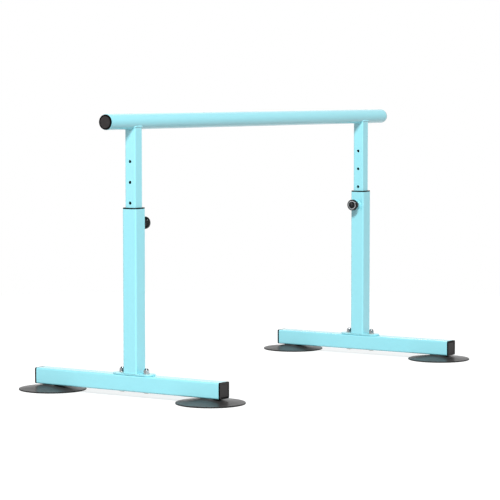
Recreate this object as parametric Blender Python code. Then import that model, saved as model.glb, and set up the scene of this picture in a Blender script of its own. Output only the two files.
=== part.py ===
"""A freestanding ballet barre on two telescopic stands, one object for each piece.

Units are metres and +Z is up. The barre runs along X, and the origin is on the floor below its
middle. Each stand is modelled in its own frame: the axis of its post is local Z, and local +X
points inwards, to the other stand. The right stand is the left one turned half a turn.
"""

from math import cos, dist, pi, radians, sin, sqrt, tau

import bmesh
import bpy

# Clearances, on one side of a fit
SEAT_GAP = 0.0003
FIT_GAP = 0.0003
BOLT_HOLE_GAP = 0.0005

# Barre: a round tube along X, welded on the upper posts
BARRE_DIAMETER = 0.038
BARRE_WALL = 0.0015
BARRE_OVERHANG = 0.115
BARRE_ABOVE_PIN = 0.246
POST_SPACING = 1.080

# Barre end caps: round, with a plug in the tube and a border round a sunk field. The step is
# how far the head's edge stays inside the tube's.
BARRE_CAP_STEP = 0.001
BARRE_CAP_HEAD = 0.0035
BARRE_CAP_ROUNDING = 0.0015
BARRE_CAP_BORDER = 0.0035
BARRE_CAP_RECESS = 0.0006
BARRE_CAP_PLUG = 0.016
BARRE_CAP_WALL = 0.002

# Foot tube: square, along Y, with its middle a little to one side of the post
FOOT_SIDE = 0.040
FOOT_WALL = 0.0015
FOOT_CORNER = 0.004
FOOT_LENGTH = 0.546
FOOT_OFFSET = 0.014

# Foot end caps: square, with a plug in the tube and a border round a sunk field
FOOT_CAP_HEAD = 0.004
FOOT_CAP_ROUNDING = 0.0015
FOOT_CAP_BORDER = 0.005
FOOT_CAP_RECESS = 0.0008
FOOT_CAP_PLUG = 0.018
FOOT_CAP_WALL = 0.002

# Suction cups: rubber discs with a hub under the foot tube. The inset runs from the end of the
# foot tube to the middle of the cup. The top falls from the crown to the rim as a power of the
# way there: 1 would be a straight cone, and more hollows it.
CUP_INSET = 0.036
CUP_RADIUS = 0.084
CUP_RIM_HEIGHT = 0.0035
CUP_RIM_ROUNDING = 0.0012
CUP_SEAL_WIDTH = 0.004
CUP_CROWN_HEIGHT = 0.0115
CUP_TOP_CURVE = 1.15
CUP_HOLLOW_HEIGHT = 0.005
CUP_HUB_RADIUS = 0.025
CUP_HUB_HEIGHT = 0.0137
CUP_HUB_CHAMFER = 0.0015
CUP_SKIN = 0.002

# Cup studs and their nuts: the stud's head is moulded into the hub
STUD_DIAMETER = 0.008
STUD_HEAD_RADIUS = 0.010
STUD_HEAD_THICKNESS = 0.0024
STUD_PROUD = 0.003
NUT_ACROSS_FLATS = 0.013
CUP_NUT_HEIGHT = 0.0065

# Base plate and the bolts that hold it on the foot tube
PLATE_LENGTH = 0.116
PLATE_WIDTH = 0.040
PLATE_THICKNESS = 0.004
PLATE_CORNER = 0.018
BOLT_SPACING = 0.072
BOLT_DIAMETER = 0.008
BOLT_HEAD_RADIUS = 0.008
BOLT_HEAD_HEIGHT = 0.004
BOLT_HEAD_ROUNDING = 0.002
WASHER_RADIUS = 0.008
WASHER_THICKNESS = 0.0016
DOME_NUT_HEX_HEIGHT = 0.0065
DOME_NUT_DOME_HEIGHT = 0.005
DOME_NUT_SKIN = 0.0025

# Posts
LOWER_POST_SIDE = 0.040
LOWER_POST_WALL = 0.0015
LOWER_POST_CORNER = 0.004
LOWER_POST_LENGTH = 0.398
UPPER_POST_SIDE = 0.030
UPPER_POST_WALL = 0.0015
UPPER_POST_CORNER = 0.003
PIN_BELOW_POST_TOP = 0.0356
HOLE_PITCH = 0.050
HOLES_ABOVE_PIN = 3
HOLES_BELOW_PIN = 3
POST_END_BELOW_HOLE = 0.037

# Guides of the upper post: a collar in the mouth of the lower post, and a plug at its own end
COLLAR_FLANGE = 0.003
COLLAR_SLEEVE = 0.0245
GUIDE_FLANGE = 0.006
GUIDE_PLUG = 0.014

# Locking plunger: lengths run outwards from the outer face of the lower post
BOSS_RADIUS = 0.011
BOSS_LENGTH = 0.008
BOSS_CHAMFER = 0.0015
BARREL_RADIUS = 0.007
BARREL_WALL = 0.0017
BARREL_LENGTH = 0.022
BARREL_END_WALL = 0.0026
PIN_RADIUS = 0.0035
PIN_REACH = 0.0105
PIN_TIP_CHAMFER = 0.001
SHOULDER_LENGTH = 0.004
STEM_RADIUS = 0.003
SPRING_WIRE_RADIUS = 0.00055
SPRING_COIL_RADIUS = 0.0042
SPRING_CURLS = 5

# Pull knob: a mushroom over the barrel, with a groove round the dome in its face. Its neck is
# hollow, clear of the barrel, and stops short of the boss.
KNOB_RADIUS = 0.0155
KNOB_ROUNDING = 0.003
KNOB_RIM = 0.009
KNOB_NECK_WALL = 0.003
KNOB_NECK_FLARE = 0.002
KNOB_OFF_BARREL = 0.0015
KNOB_OFF_BOSS = 0.0018
KNOB_FACE = 0.0077
KNOB_SKIN = 0.0015
KNOB_DOME_RADIUS = 0.0098
KNOB_DOME_RISE = 0.0008
KNOB_GROOVE_WIDTH = 0.0022
KNOB_GROOVE_DEPTH = 0.001

# How finely round shapes are divided
CORNER_STEPS = 3
BARRE_SEGMENTS = 40
CAP_SEGMENTS = 24
CUP_SEGMENTS = 32
KNOB_SEGMENTS = 24
FASTENER_SEGMENTS = 12
CUP_TOP_STEPS = 3
CURL_POINTS = 8
SPIN_MERGE = 0.000001
SHARP_ANGLE = radians(40)

# Heights that follow from the sizes above
FOOT_BOTTOM = CUP_HUB_HEIGHT + SEAT_GAP
FOOT_TOP = FOOT_BOTTOM + FOOT_SIDE
PLATE_BOTTOM = FOOT_TOP + SEAT_GAP
PLATE_TOP = PLATE_BOTTOM + PLATE_THICKNESS
LOWER_POST_BOTTOM = PLATE_TOP + SEAT_GAP
LOWER_POST_TOP = LOWER_POST_BOTTOM + LOWER_POST_LENGTH
PIN_HEIGHT = LOWER_POST_TOP - PIN_BELOW_POST_TOP
UPPER_POST_BOTTOM = PIN_HEIGHT - HOLES_BELOW_PIN * HOLE_PITCH - POST_END_BELOW_HOLE
BARRE_HEIGHT = PIN_HEIGHT + BARRE_ABOVE_PIN
STUD_HEAD_BOTTOM = CUP_HOLLOW_HEIGHT + CUP_SKIN + FIT_GAP
STUD_HEAD_TOP = STUD_HEAD_BOTTOM + STUD_HEAD_THICKNESS
CUP_NUT_BOTTOM = FOOT_BOTTOM + FOOT_WALL + SEAT_GAP
WASHER_BOTTOM = PLATE_TOP + SEAT_GAP
DOME_NUT_BOTTOM = WASHER_BOTTOM + WASHER_THICKNESS + SEAT_GAP
DOME_NUT_HEIGHT = DOME_NUT_HEX_HEIGHT + DOME_NUT_DOME_HEIGHT
DOME_NUT_BORE_TOP = DOME_NUT_HEIGHT - DOME_NUT_SKIN

# Radii of the plunger that follow from the sizes above
BARREL_CAVITY = BARREL_RADIUS - BARREL_WALL
SHOULDER_RADIUS = BARREL_CAVITY - FIT_GAP
KNOB_HOLLOW_RADIUS = BARREL_RADIUS + KNOB_OFF_BARREL
KNOB_NECK_RADIUS = KNOB_HOLLOW_RADIUS + KNOB_NECK_WALL

# Distances out from the lower post's face that follow from the sizes above
BOSS_END = SEAT_GAP + BOSS_LENGTH
SHOULDER_END = SEAT_GAP + SHOULDER_LENGTH
BARREL_END = SEAT_GAP + BARREL_LENGTH
KNOB_MOUTH = BOSS_END + KNOB_OFF_BOSS
KNOB_FLOOR = BARREL_END + SEAT_GAP
KNOB_END = KNOB_FLOOR + KNOB_FACE
STEM_END = KNOB_END - KNOB_DOME_RISE - KNOB_SKIN - SEAT_GAP


def linear(channel):
    """The linear value of an sRGB channel between 0 and 1."""
    if channel <= 0.04045:
        return channel / 12.92
    return ((channel + 0.055) / 1.055) ** 2.4


def make_material(name, colour, roughness, metallic=0.0):
    """A Principled material from an sRGB hex colour."""
    channels = [int(colour[i : i + 2], 16) / 255 for i in (0, 2, 4)]
    rgba = [linear(channel) for channel in channels] + [1.0]
    material = bpy.data.materials.new(name)
    material.diffuse_color = rgba
    material.use_nodes = True
    shader = material.node_tree.nodes["Principled BSDF"]
    shader.inputs["Base Color"].default_value = rgba
    shader.inputs["Roughness"].default_value = roughness
    shader.inputs["Metallic"].default_value = metallic
    return material


def mesh_from(bm, name):
    """The finished mesh of a bmesh: welded, facing out, smooth except at its sharp edges."""
    bmesh.ops.remove_doubles(bm, verts=bm.verts, dist=SPIN_MERGE)
    bmesh.ops.recalc_face_normals(bm, faces=bm.faces)
    mesh = bpy.data.meshes.new(name)
    bm.to_mesh(mesh)
    bm.free()
    mesh.shade_smooth()
    mesh.set_sharp_from_angle(angle=SHARP_ANGLE)
    return mesh


def turned(name, profile, segments, closed=False):
    """A solid turned about Z from (radius, height) points. A closed profile makes a ring."""
    bm = bmesh.new()
    points = [bm.verts.new((radius, 0, height)) for radius, height in profile]
    edges = [bm.edges.new(pair) for pair in zip(points, points[1:])]
    if closed:
        edges.append(bm.edges.new((points[-1], points[0])))
    bmesh.ops.spin(
        bm,
        geom=points + edges,
        cent=(0, 0, 0),
        axis=(0, 0, 1),
        angle=tau,
        steps=segments,
        use_merge=True,
    )
    return mesh_from(bm, name)


def stacked(name, rings, closed=False):
    """A solid whose skin runs from ring to ring of (x, y, z) points, all of equal count.

    A closed skin joins the last ring to the first. An open one is capped at both ends.
    """
    bm = bmesh.new()
    loops = [[bm.verts.new(point) for point in ring] for ring in rings]
    if closed:
        loops.append(loops[0])
    else:
        bm.faces.new(loops[0])
        bm.faces.new(loops[-1])
    for below, above in zip(loops, loops[1:]):
        count = len(below)
        for i in range(count):
            after = (i + 1) % count
            bm.faces.new((below[i], below[after], above[after], above[i]))
    return mesh_from(bm, name)


def rounded_ring(length, width, corner, height):
    """A rectangle with round corners, length along Y and width along X, at a height."""
    quarters = ((1, 1), (-1, 1), (-1, -1), (1, -1))
    ring = []
    for quarter, (side_x, side_y) in enumerate(quarters):
        for step in range(CORNER_STEPS + 1):
            angle = (quarter + step / CORNER_STEPS) * pi / 2
            x = side_x * (width / 2 - corner) + corner * cos(angle)
            y = side_y * (length / 2 - corner) + corner * sin(angle)
            ring.append((x, y, height))
    return ring


def square_ring(side, corner, height):
    """A square with round corners at a height."""
    return rounded_ring(side, side, corner, height)


def round_ring(radius, height):
    """A circle with as many points as a hexagonal ring has, at a height."""
    angles = [i * tau / FASTENER_SEGMENTS for i in range(FASTENER_SEGMENTS)]
    return [(radius * cos(angle), radius * sin(angle), height) for angle in angles]


def hexagon_ring(across_flats, height):
    """A hexagon with points at its corners and at the middles of its flats, at a height."""
    ring = []
    for i in range(FASTENER_SEGMENTS):
        angle = i * tau / FASTENER_SEGMENTS
        from_flat = (angle + pi / 6) % (pi / 3) - pi / 6
        radius = across_flats / 2 / cos(from_flat)
        ring.append((radius * cos(angle), radius * sin(angle), height))
    return ring


def square_tube(name, side, wall, corner, length):
    """A square tube up from the origin, open at both ends."""
    bore = side - 2 * wall
    rings = [
        square_ring(side, corner, 0),
        square_ring(side, corner, length),
        square_ring(bore, corner - wall, length),
        square_ring(bore, corner - wall, 0),
    ]
    return stacked(name, rings, closed=True)


def add_object(name, mesh, material, parent=None, location=(0, 0, 0), rotation=(0, 0, 0)):
    """Links a new object with this mesh to the scene."""
    obj = bpy.data.objects.new(name, mesh)
    if not mesh.materials:
        mesh.materials.append(material)
    obj.parent = parent
    obj.location = location
    obj.rotation_euler = rotation
    bpy.context.scene.collection.objects.link(obj)
    return obj


def add_cutter(name, cylinders, parent, rotation=(0, 0, 0), segments=FASTENER_SEGMENTS):
    """A hidden cutter of upright cylinders, each ((x, y, z) of its middle, radius, length)."""
    bm = bmesh.new()
    for middle, radius, length in cylinders:
        made = bmesh.ops.create_cone(
            bm,
            cap_ends=True,
            segments=segments,
            radius1=radius,
            radius2=radius,
            depth=length,
        )
        bmesh.ops.translate(bm, verts=made["verts"], vec=middle)
    mesh = bpy.data.meshes.new(name)
    bm.to_mesh(mesh)
    bm.free()
    cutter = bpy.data.objects.new(name, mesh)
    cutter.parent = parent
    cutter.rotation_euler = rotation
    cutter.hide_render = True
    cutter.display_type = "WIRE"
    bpy.context.scene.collection.objects.link(cutter)
    return cutter


def cut(obj, cutter):
    """Takes the cutter's shape out of an object."""
    modifier = obj.modifiers.new(cutter.name, "BOOLEAN")
    modifier.operation = "DIFFERENCE"
    modifier.solver = "EXACT"
    modifier.object = cutter


def barre_tube_mesh():
    """The round tube, along Z, with its middle at the origin."""
    radius = BARRE_DIAMETER / 2
    half = POST_SPACING / 2 + BARRE_OVERHANG - BARRE_CAP_HEAD - SEAT_GAP
    bore = radius - BARRE_WALL
    profile = [(radius, half), (radius, -half), (bore, -half), (bore, half)]
    return turned("barre_tube", profile, BARRE_SEGMENTS, closed=True)


def barre_cap_mesh():
    """A round end cap: its head's outer face is at the origin, and its plug points down."""
    radius = BARRE_DIAMETER / 2 - BARRE_CAP_STEP
    field = radius - BARRE_CAP_BORDER
    plug = BARRE_DIAMETER / 2 - BARRE_WALL - FIT_GAP
    hollow = plug - BARRE_CAP_WALL
    plug_end = -BARRE_CAP_HEAD - BARRE_CAP_PLUG
    profile = [
        (0, -BARRE_CAP_RECESS),
        (field - BARRE_CAP_RECESS, -BARRE_CAP_RECESS),
        (field, 0),
        (radius - BARRE_CAP_ROUNDING, 0),
        (radius, -BARRE_CAP_ROUNDING),
        (radius, -BARRE_CAP_HEAD),
        (plug, -BARRE_CAP_HEAD),
        (plug, plug_end),
        (hollow, plug_end),
        (hollow, -BARRE_CAP_HEAD),
        (0, -BARRE_CAP_HEAD),
    ]
    return turned("barre_end_cap", profile, CAP_SEGMENTS)


def foot_cap_mesh():
    """A square end cap: its head's outer face is at the origin, and its plug points down."""
    field = FOOT_SIDE - 2 * FOOT_CAP_BORDER
    field_corner = FOOT_CORNER / 2
    plug = FOOT_SIDE - 2 * FOOT_WALL - 2 * FIT_GAP
    plug_corner = FOOT_CORNER - FOOT_WALL - FIT_GAP
    hollow = plug - 2 * FOOT_CAP_WALL
    plug_end = -FOOT_CAP_HEAD - FOOT_CAP_PLUG
    face = FOOT_SIDE - 2 * FOOT_CAP_ROUNDING
    rings = [
        square_ring(field - 2 * FOOT_CAP_RECESS, field_corner, -FOOT_CAP_RECESS),
        square_ring(field, field_corner, 0),
        square_ring(face, FOOT_CORNER - FOOT_CAP_ROUNDING, 0),
        square_ring(FOOT_SIDE, FOOT_CORNER, -FOOT_CAP_ROUNDING),
        square_ring(FOOT_SIDE, FOOT_CORNER, -FOOT_CAP_HEAD),
        square_ring(plug, plug_corner, -FOOT_CAP_HEAD),
        square_ring(plug, plug_corner, plug_end),
        square_ring(hollow, plug_corner / 2, plug_end),
        square_ring(hollow, plug_corner / 2, -FOOT_CAP_HEAD),
    ]
    return stacked("foot_end_cap", rings)


def cup_top(step):
    """A point of the cup's top between the hub, at step 0, and the rim."""
    share = step / CUP_TOP_STEPS
    reach = CUP_RADIUS - CUP_RIM_ROUNDING - CUP_HUB_RADIUS
    rise = CUP_CROWN_HEIGHT - CUP_RIM_HEIGHT
    return CUP_HUB_RADIUS + share * reach, CUP_RIM_HEIGHT + rise * (1 - share) ** CUP_TOP_CURVE


def suction_cup_mesh():
    """A suction cup standing on its sealing ring, with the stud's cavity open at the hub."""
    cavity = STUD_HEAD_RADIUS + FIT_GAP
    bore = STUD_DIAMETER / 2 + FIT_GAP
    seal = CUP_RADIUS - CUP_RIM_ROUNDING
    profile = [
        (0, STUD_HEAD_BOTTOM - FIT_GAP),
        (cavity, STUD_HEAD_BOTTOM - FIT_GAP),
        (cavity, STUD_HEAD_TOP + FIT_GAP),
        (bore, STUD_HEAD_TOP + FIT_GAP),
        (bore, CUP_HUB_HEIGHT),
        (CUP_HUB_RADIUS - CUP_HUB_CHAMFER, CUP_HUB_HEIGHT),
        (CUP_HUB_RADIUS, CUP_HUB_HEIGHT - CUP_HUB_CHAMFER),
    ]
    profile += [cup_top(step) for step in range(CUP_TOP_STEPS + 1)]
    profile += [
        (CUP_RADIUS, CUP_RIM_HEIGHT - CUP_RIM_ROUNDING),
        (CUP_RADIUS, CUP_RIM_ROUNDING),
        (seal, 0),
        (seal - CUP_SEAL_WIDTH, 0),
        (CUP_HUB_RADIUS, CUP_HOLLOW_HEIGHT),
        (0, CUP_HOLLOW_HEIGHT),
    ]
    return turned("suction_cup", profile, CUP_SEGMENTS)


def cup_stud_mesh():
    """The stud's head in the cup's cavity, and its shank up through the foot tube's wall."""
    shank = STUD_DIAMETER / 2
    top = CUP_NUT_BOTTOM + CUP_NUT_HEIGHT + STUD_PROUD
    profile = [
        (0, top),
        (shank, top),
        (shank, STUD_HEAD_TOP),
        (STUD_HEAD_RADIUS, STUD_HEAD_TOP),
        (STUD_HEAD_RADIUS, STUD_HEAD_BOTTOM),
        (0, STUD_HEAD_BOTTOM),
    ]
    return turned("cup_stud", profile, FASTENER_SEGMENTS)


def cup_nut_mesh():
    """A plain hexagonal nut, up from the origin."""
    bore = STUD_DIAMETER / 2 + FIT_GAP
    rings = [
        hexagon_ring(NUT_ACROSS_FLATS, 0),
        hexagon_ring(NUT_ACROSS_FLATS, CUP_NUT_HEIGHT),
        round_ring(bore, CUP_NUT_HEIGHT),
        round_ring(bore, 0),
    ]
    return stacked("cup_nut", rings, closed=True)


def dome_nut_mesh():
    """A hexagonal nut closed by a dome, up from the origin, with a blind bore."""
    bore = BOLT_DIAMETER / 2 + FIT_GAP
    base = NUT_ACROSS_FLATS / 2
    rings = [round_ring(bore, DOME_NUT_BORE_TOP), round_ring(bore, 0)]
    rings += [hexagon_ring(NUT_ACROSS_FLATS, 0)]
    rings += [hexagon_ring(NUT_ACROSS_FLATS, DOME_NUT_HEX_HEIGHT)]
    for angle in (0, pi / 6, pi / 3, pi / 2 - pi / 12):
        height = DOME_NUT_HEX_HEIGHT + DOME_NUT_DOME_HEIGHT * sin(angle)
        rings.append(round_ring(base * cos(angle), height))
    return stacked("dome_nut", rings)


def washer_mesh():
    """A flat washer, up from the origin."""
    bore = BOLT_DIAMETER / 2 + FIT_GAP
    profile = [
        (WASHER_RADIUS, WASHER_THICKNESS),
        (WASHER_RADIUS, 0),
        (bore, 0),
        (bore, WASHER_THICKNESS),
    ]
    return turned("base_washer", profile, FASTENER_SEGMENTS, closed=True)


def base_bolt_mesh():
    """A round-headed bolt whose head lies under the foot tube, at its real height."""
    shank = BOLT_DIAMETER / 2
    head_top = FOOT_BOTTOM - SEAT_GAP
    head_bottom = head_top - BOLT_HEAD_HEIGHT
    end = DOME_NUT_BOTTOM + DOME_NUT_BORE_TOP - SEAT_GAP
    profile = [
        (0, end),
        (shank, end),
        (shank, head_top),
        (BOLT_HEAD_RADIUS, head_top),
        (BOLT_HEAD_RADIUS, head_bottom + BOLT_HEAD_ROUNDING),
        (BOLT_HEAD_RADIUS - BOLT_HEAD_ROUNDING, head_bottom),
        (0, head_bottom),
    ]
    return turned("base_bolt", profile, FASTENER_SEGMENTS)


def base_plate_mesh():
    """The plate under the post, up from the origin."""
    rings = [
        rounded_ring(PLATE_LENGTH, PLATE_WIDTH, PLATE_CORNER, 0),
        rounded_ring(PLATE_LENGTH, PLATE_WIDTH, PLATE_CORNER, PLATE_THICKNESS),
    ]
    return stacked("base_plate", rings)


def guide_collar_mesh():
    """The collar in the lower post's mouth: its flange lies on z = 0, and its sleeve below."""
    opening = UPPER_POST_SIDE + 2 * FIT_GAP
    opening_corner = UPPER_POST_CORNER + FIT_GAP
    sleeve = LOWER_POST_SIDE - 2 * LOWER_POST_WALL - 2 * FIT_GAP
    sleeve_corner = LOWER_POST_CORNER - LOWER_POST_WALL - FIT_GAP
    rings = [
        square_ring(LOWER_POST_SIDE, LOWER_POST_CORNER, COLLAR_FLANGE),
        square_ring(LOWER_POST_SIDE, LOWER_POST_CORNER, 0),
        square_ring(sleeve, sleeve_corner, 0),
        square_ring(sleeve, sleeve_corner, -COLLAR_SLEEVE),
        square_ring(opening, opening_corner, -COLLAR_SLEEVE),
        square_ring(opening, opening_corner, COLLAR_FLANGE),
    ]
    return stacked("guide_collar", rings, closed=True)


def post_end_guide_mesh():
    """The plug at the upper post's lower end: its flange hangs below z = 0."""
    flange = LOWER_POST_SIDE - 2 * LOWER_POST_WALL - 2 * FIT_GAP
    flange_corner = LOWER_POST_CORNER - LOWER_POST_WALL - FIT_GAP
    plug = UPPER_POST_SIDE - 2 * UPPER_POST_WALL - 2 * FIT_GAP
    plug_corner = UPPER_POST_CORNER - UPPER_POST_WALL - FIT_GAP
    rings = [
        square_ring(flange, flange_corner, -GUIDE_FLANGE),
        square_ring(flange, flange_corner, 0),
        square_ring(plug, plug_corner, 0),
        square_ring(plug, plug_corner, GUIDE_PLUG),
    ]
    return stacked("post_end_guide", rings)


def plunger_boss_mesh():
    """The boss welded to the lower post, outwards along Z from the post's face."""
    bore = BARREL_RADIUS + FIT_GAP
    profile = [
        (bore, BOSS_END),
        (BOSS_RADIUS - BOSS_CHAMFER, BOSS_END),
        (BOSS_RADIUS, BOSS_END - BOSS_CHAMFER),
        (BOSS_RADIUS, SEAT_GAP),
        (bore, SEAT_GAP),
    ]
    return turned("plunger_boss", profile, CAP_SEGMENTS, closed=True)


def plunger_barrel_mesh():
    """The barrel in the boss: open at the post, with an end wall that the stem goes through."""
    stem_bore = STEM_RADIUS + FIT_GAP
    end_wall = BARREL_END - BARREL_END_WALL
    profile = [
        (stem_bore, BARREL_END),
        (BARREL_RADIUS, BARREL_END),
        (BARREL_RADIUS, SEAT_GAP),
        (BARREL_CAVITY, SEAT_GAP),
        (BARREL_CAVITY, end_wall),
        (stem_bore, end_wall),
    ]
    return turned("plunger_barrel", profile, FASTENER_SEGMENTS, closed=True)


def plunger_pin_mesh():
    """The pin: its tip in the upper post, a shoulder on the lower post's face, and the stem."""
    profile = [
        (0, STEM_END),
        (STEM_RADIUS, STEM_END),
        (STEM_RADIUS, SHOULDER_END),
        (SHOULDER_RADIUS, SHOULDER_END),
        (SHOULDER_RADIUS, SEAT_GAP),
        (PIN_RADIUS, SEAT_GAP),
        (PIN_RADIUS, PIN_TIP_CHAMFER - PIN_REACH),
        (PIN_RADIUS - PIN_TIP_CHAMFER, -PIN_REACH),
        (0, -PIN_REACH),
    ]
    return turned("plunger_pin", profile, FASTENER_SEGMENTS)


def plunger_knob_mesh():
    """The pull knob: a hollow neck over the barrel, and a grooved and domed face."""
    groove_floor = KNOB_END - KNOB_DOME_RISE - KNOB_GROOVE_DEPTH
    groove_outer = KNOB_DOME_RADIUS + KNOB_GROOVE_WIDTH
    brow = KNOB_END - KNOB_DOME_RISE
    rim_back = KNOB_END - KNOB_RIM
    stem_bore = STEM_RADIUS + FIT_GAP
    profile = [
        (0, KNOB_END),
        (KNOB_DOME_RADIUS, brow),
        (KNOB_DOME_RADIUS, groove_floor),
        (groove_outer, groove_floor),
        (groove_outer, brow),
        (KNOB_RADIUS - KNOB_ROUNDING, brow),
        (KNOB_RADIUS, brow - KNOB_ROUNDING),
        (KNOB_RADIUS, rim_back),
        (KNOB_NECK_RADIUS, rim_back - KNOB_NECK_FLARE),
        (KNOB_NECK_RADIUS, KNOB_MOUTH),
        (KNOB_HOLLOW_RADIUS, KNOB_MOUTH),
        (KNOB_HOLLOW_RADIUS, KNOB_FLOOR),
        (stem_bore, KNOB_FLOOR),
        (stem_bore, STEM_END + SEAT_GAP),
        (0, STEM_END + SEAT_GAP),
    ]
    return turned("plunger_knob", profile, KNOB_SEGMENTS)


def spring_point(turns, start, rise):
    """A point on the spring's middle line, this many turns from its start."""
    angle = turns * tau
    x = SPRING_COIL_RADIUS * cos(angle)
    y = SPRING_COIL_RADIUS * sin(angle)
    return x, y, start + rise * turns


def plunger_spring_curve():
    """The pin's return spring, between its shoulder and the barrel's end wall, along Z."""
    low = SHOULDER_END + SEAT_GAP + SPRING_WIRE_RADIUS
    high = BARREL_END - BARREL_END_WALL - SEAT_GAP - SPRING_WIRE_RADIUS
    rise = (high - low) / SPRING_CURLS
    count = SPRING_CURLS * CURL_POINTS + 1
    points = [spring_point(i / CURL_POINTS, low, rise) for i in range(count)]
    apart = min(dist(points[i], points[i + CURL_POINTS]) for i in range(count - CURL_POINTS))
    print(f"least gap between curls: {(apart - 2 * SPRING_WIRE_RADIUS) * 1000:.2f} mm")
    curve = bpy.data.curves.new("plunger_spring", "CURVE")
    curve.dimensions = "3D"
    curve.bevel_depth = SPRING_WIRE_RADIUS
    curve.bevel_resolution = 1
    curve.use_fill_caps = True
    spline = curve.splines.new("POLY")
    spline.points.add(count - 1)
    for spline_point, point in zip(spline.points, points):
        spline_point.co = (*point, 1)
    return curve


def make_materials():
    """The finishes, by name."""
    return {
        "paint": make_material("turquoise_paint", "9fdde6", 0.35),
        "plastic": make_material("black_plastic", "2f2e2e", 0.45),
        "rubber": make_material("black_rubber", "2b2d2d", 0.4),
        "zinc": make_material("zinc_plated_steel", "b9bcbd", 0.35, 1.0),
        "chrome": make_material("chrome_plate", "e6e6e6", 0.1, 1.0),
        "knob": make_material("gloss_black_plastic", "161616", 0.15),
    }


def make_stand_meshes():
    """The meshes that both stands share, by piece."""
    return {
        "suction_cup": suction_cup_mesh(),
        "cup_stud": cup_stud_mesh(),
        "cup_nut": cup_nut_mesh(),
        "foot_end_cap": foot_cap_mesh(),
        "base_bolt": base_bolt_mesh(),
        "base_washer": washer_mesh(),
        "dome_nut": dome_nut_mesh(),
        "guide_collar": guide_collar_mesh(),
        "post_end_guide": post_end_guide_mesh(),
        "plunger_boss": plunger_boss_mesh(),
        "plunger_barrel": plunger_barrel_mesh(),
        "plunger_pin": plunger_pin_mesh(),
        "plunger_spring": plunger_spring_curve(),
        "plunger_knob": plunger_knob_mesh(),
    }


def build_foot(side, stand, ends, meshes, finish):
    """The foot tube and what is on it: end caps, suction cups, their studs and nuts."""
    mesh = square_tube(f"{side}_foot_tube", FOOT_SIDE, FOOT_WALL, FOOT_CORNER, FOOT_LENGTH)
    foot_tube = add_object(
        f"{side}_foot_tube",
        mesh,
        finish["paint"],
        stand,
        (0, FOOT_OFFSET + FOOT_LENGTH / 2, FOOT_BOTTOM + FOOT_SIDE / 2),
        (pi / 2, 0, 0),
    )
    stud_holes = []
    for end, way in ends:
        cap_y = FOOT_OFFSET + way * (FOOT_LENGTH / 2 + SEAT_GAP + FOOT_CAP_HEAD)
        add_object(
            f"{side}_{end}_foot_end_cap",
            meshes["foot_end_cap"],
            finish["plastic"],
            stand,
            (0, cap_y, FOOT_BOTTOM + FOOT_SIDE / 2),
            (-way * pi / 2, 0, 0),
        )
        cup_y = FOOT_OFFSET + way * (FOOT_LENGTH / 2 - CUP_INSET)
        for piece, material, height in (
            ("suction_cup", finish["rubber"], 0),
            ("cup_stud", finish["zinc"], 0),
            ("cup_nut", finish["zinc"], CUP_NUT_BOTTOM),
        ):
            add_object(
                f"{side}_{end}_{piece}", meshes[piece], material, stand, (0, cup_y, height)
            )
        middle = (0, cup_y, FOOT_BOTTOM)
        stud_holes.append((middle, STUD_DIAMETER / 2 + BOLT_HOLE_GAP, FOOT_SIDE / 2))
    cut(foot_tube, add_cutter(f"{side}_stud_holes", stud_holes, stand))
    return foot_tube


def build_base_joint(side, stand, ends, meshes, finish, foot_tube):
    """The base plate on the foot tube, and the bolts, washers and dome nuts through both."""
    base_plate = add_object(
        f"{side}_base_plate",
        base_plate_mesh(),
        finish["paint"],
        stand,
        (0, 0, PLATE_BOTTOM),
    )
    bolt_holes = []
    for end, way in ends:
        bolt_y = way * BOLT_SPACING / 2
        for piece, material, height in (
            ("base_bolt", finish["zinc"], 0),
            ("base_washer", finish["zinc"], WASHER_BOTTOM),
            ("dome_nut", finish["chrome"], DOME_NUT_BOTTOM),
        ):
            add_object(
                f"{side}_{end}_{piece}", meshes[piece], material, stand, (0, bolt_y, height)
            )
        middle = (0, bolt_y, (FOOT_BOTTOM + PLATE_TOP) / 2)
        radius = BOLT_DIAMETER / 2 + BOLT_HOLE_GAP
        bolt_holes.append((middle, radius, 2 * (PLATE_TOP - FOOT_BOTTOM)))
    cutter = add_cutter(f"{side}_bolt_holes", bolt_holes, stand)
    cut(foot_tube, cutter)
    cut(base_plate, cutter)


def build_lower_post(side, stand, meshes, finish):
    """The lower post, with the pin's hole in its inner face, and its guide collar."""
    mesh = square_tube(
        f"{side}_lower_post",
        LOWER_POST_SIDE,
        LOWER_POST_WALL,
        LOWER_POST_CORNER,
        LOWER_POST_LENGTH,
    )
    lower_post = add_object(
        f"{side}_lower_post", mesh, finish["paint"], stand, (0, 0, LOWER_POST_BOTTOM)
    )
    # The cutter is turned on its side: its z is the stand's x, and its x the stand's -z.
    middle = (-PIN_HEIGHT, 0, LOWER_POST_SIDE / 2)
    pin_hole = [(middle, PIN_RADIUS + FIT_GAP, LOWER_POST_SIDE / 2)]
    cut(lower_post, add_cutter(f"{side}_pin_hole", pin_hole, stand, (0, pi / 2, 0)))
    collar_seat = LOWER_POST_TOP + SEAT_GAP
    add_object(
        f"{side}_guide_collar",
        meshes["guide_collar"],
        finish["plastic"],
        stand,
        (0, 0, collar_seat),
    )


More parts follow.
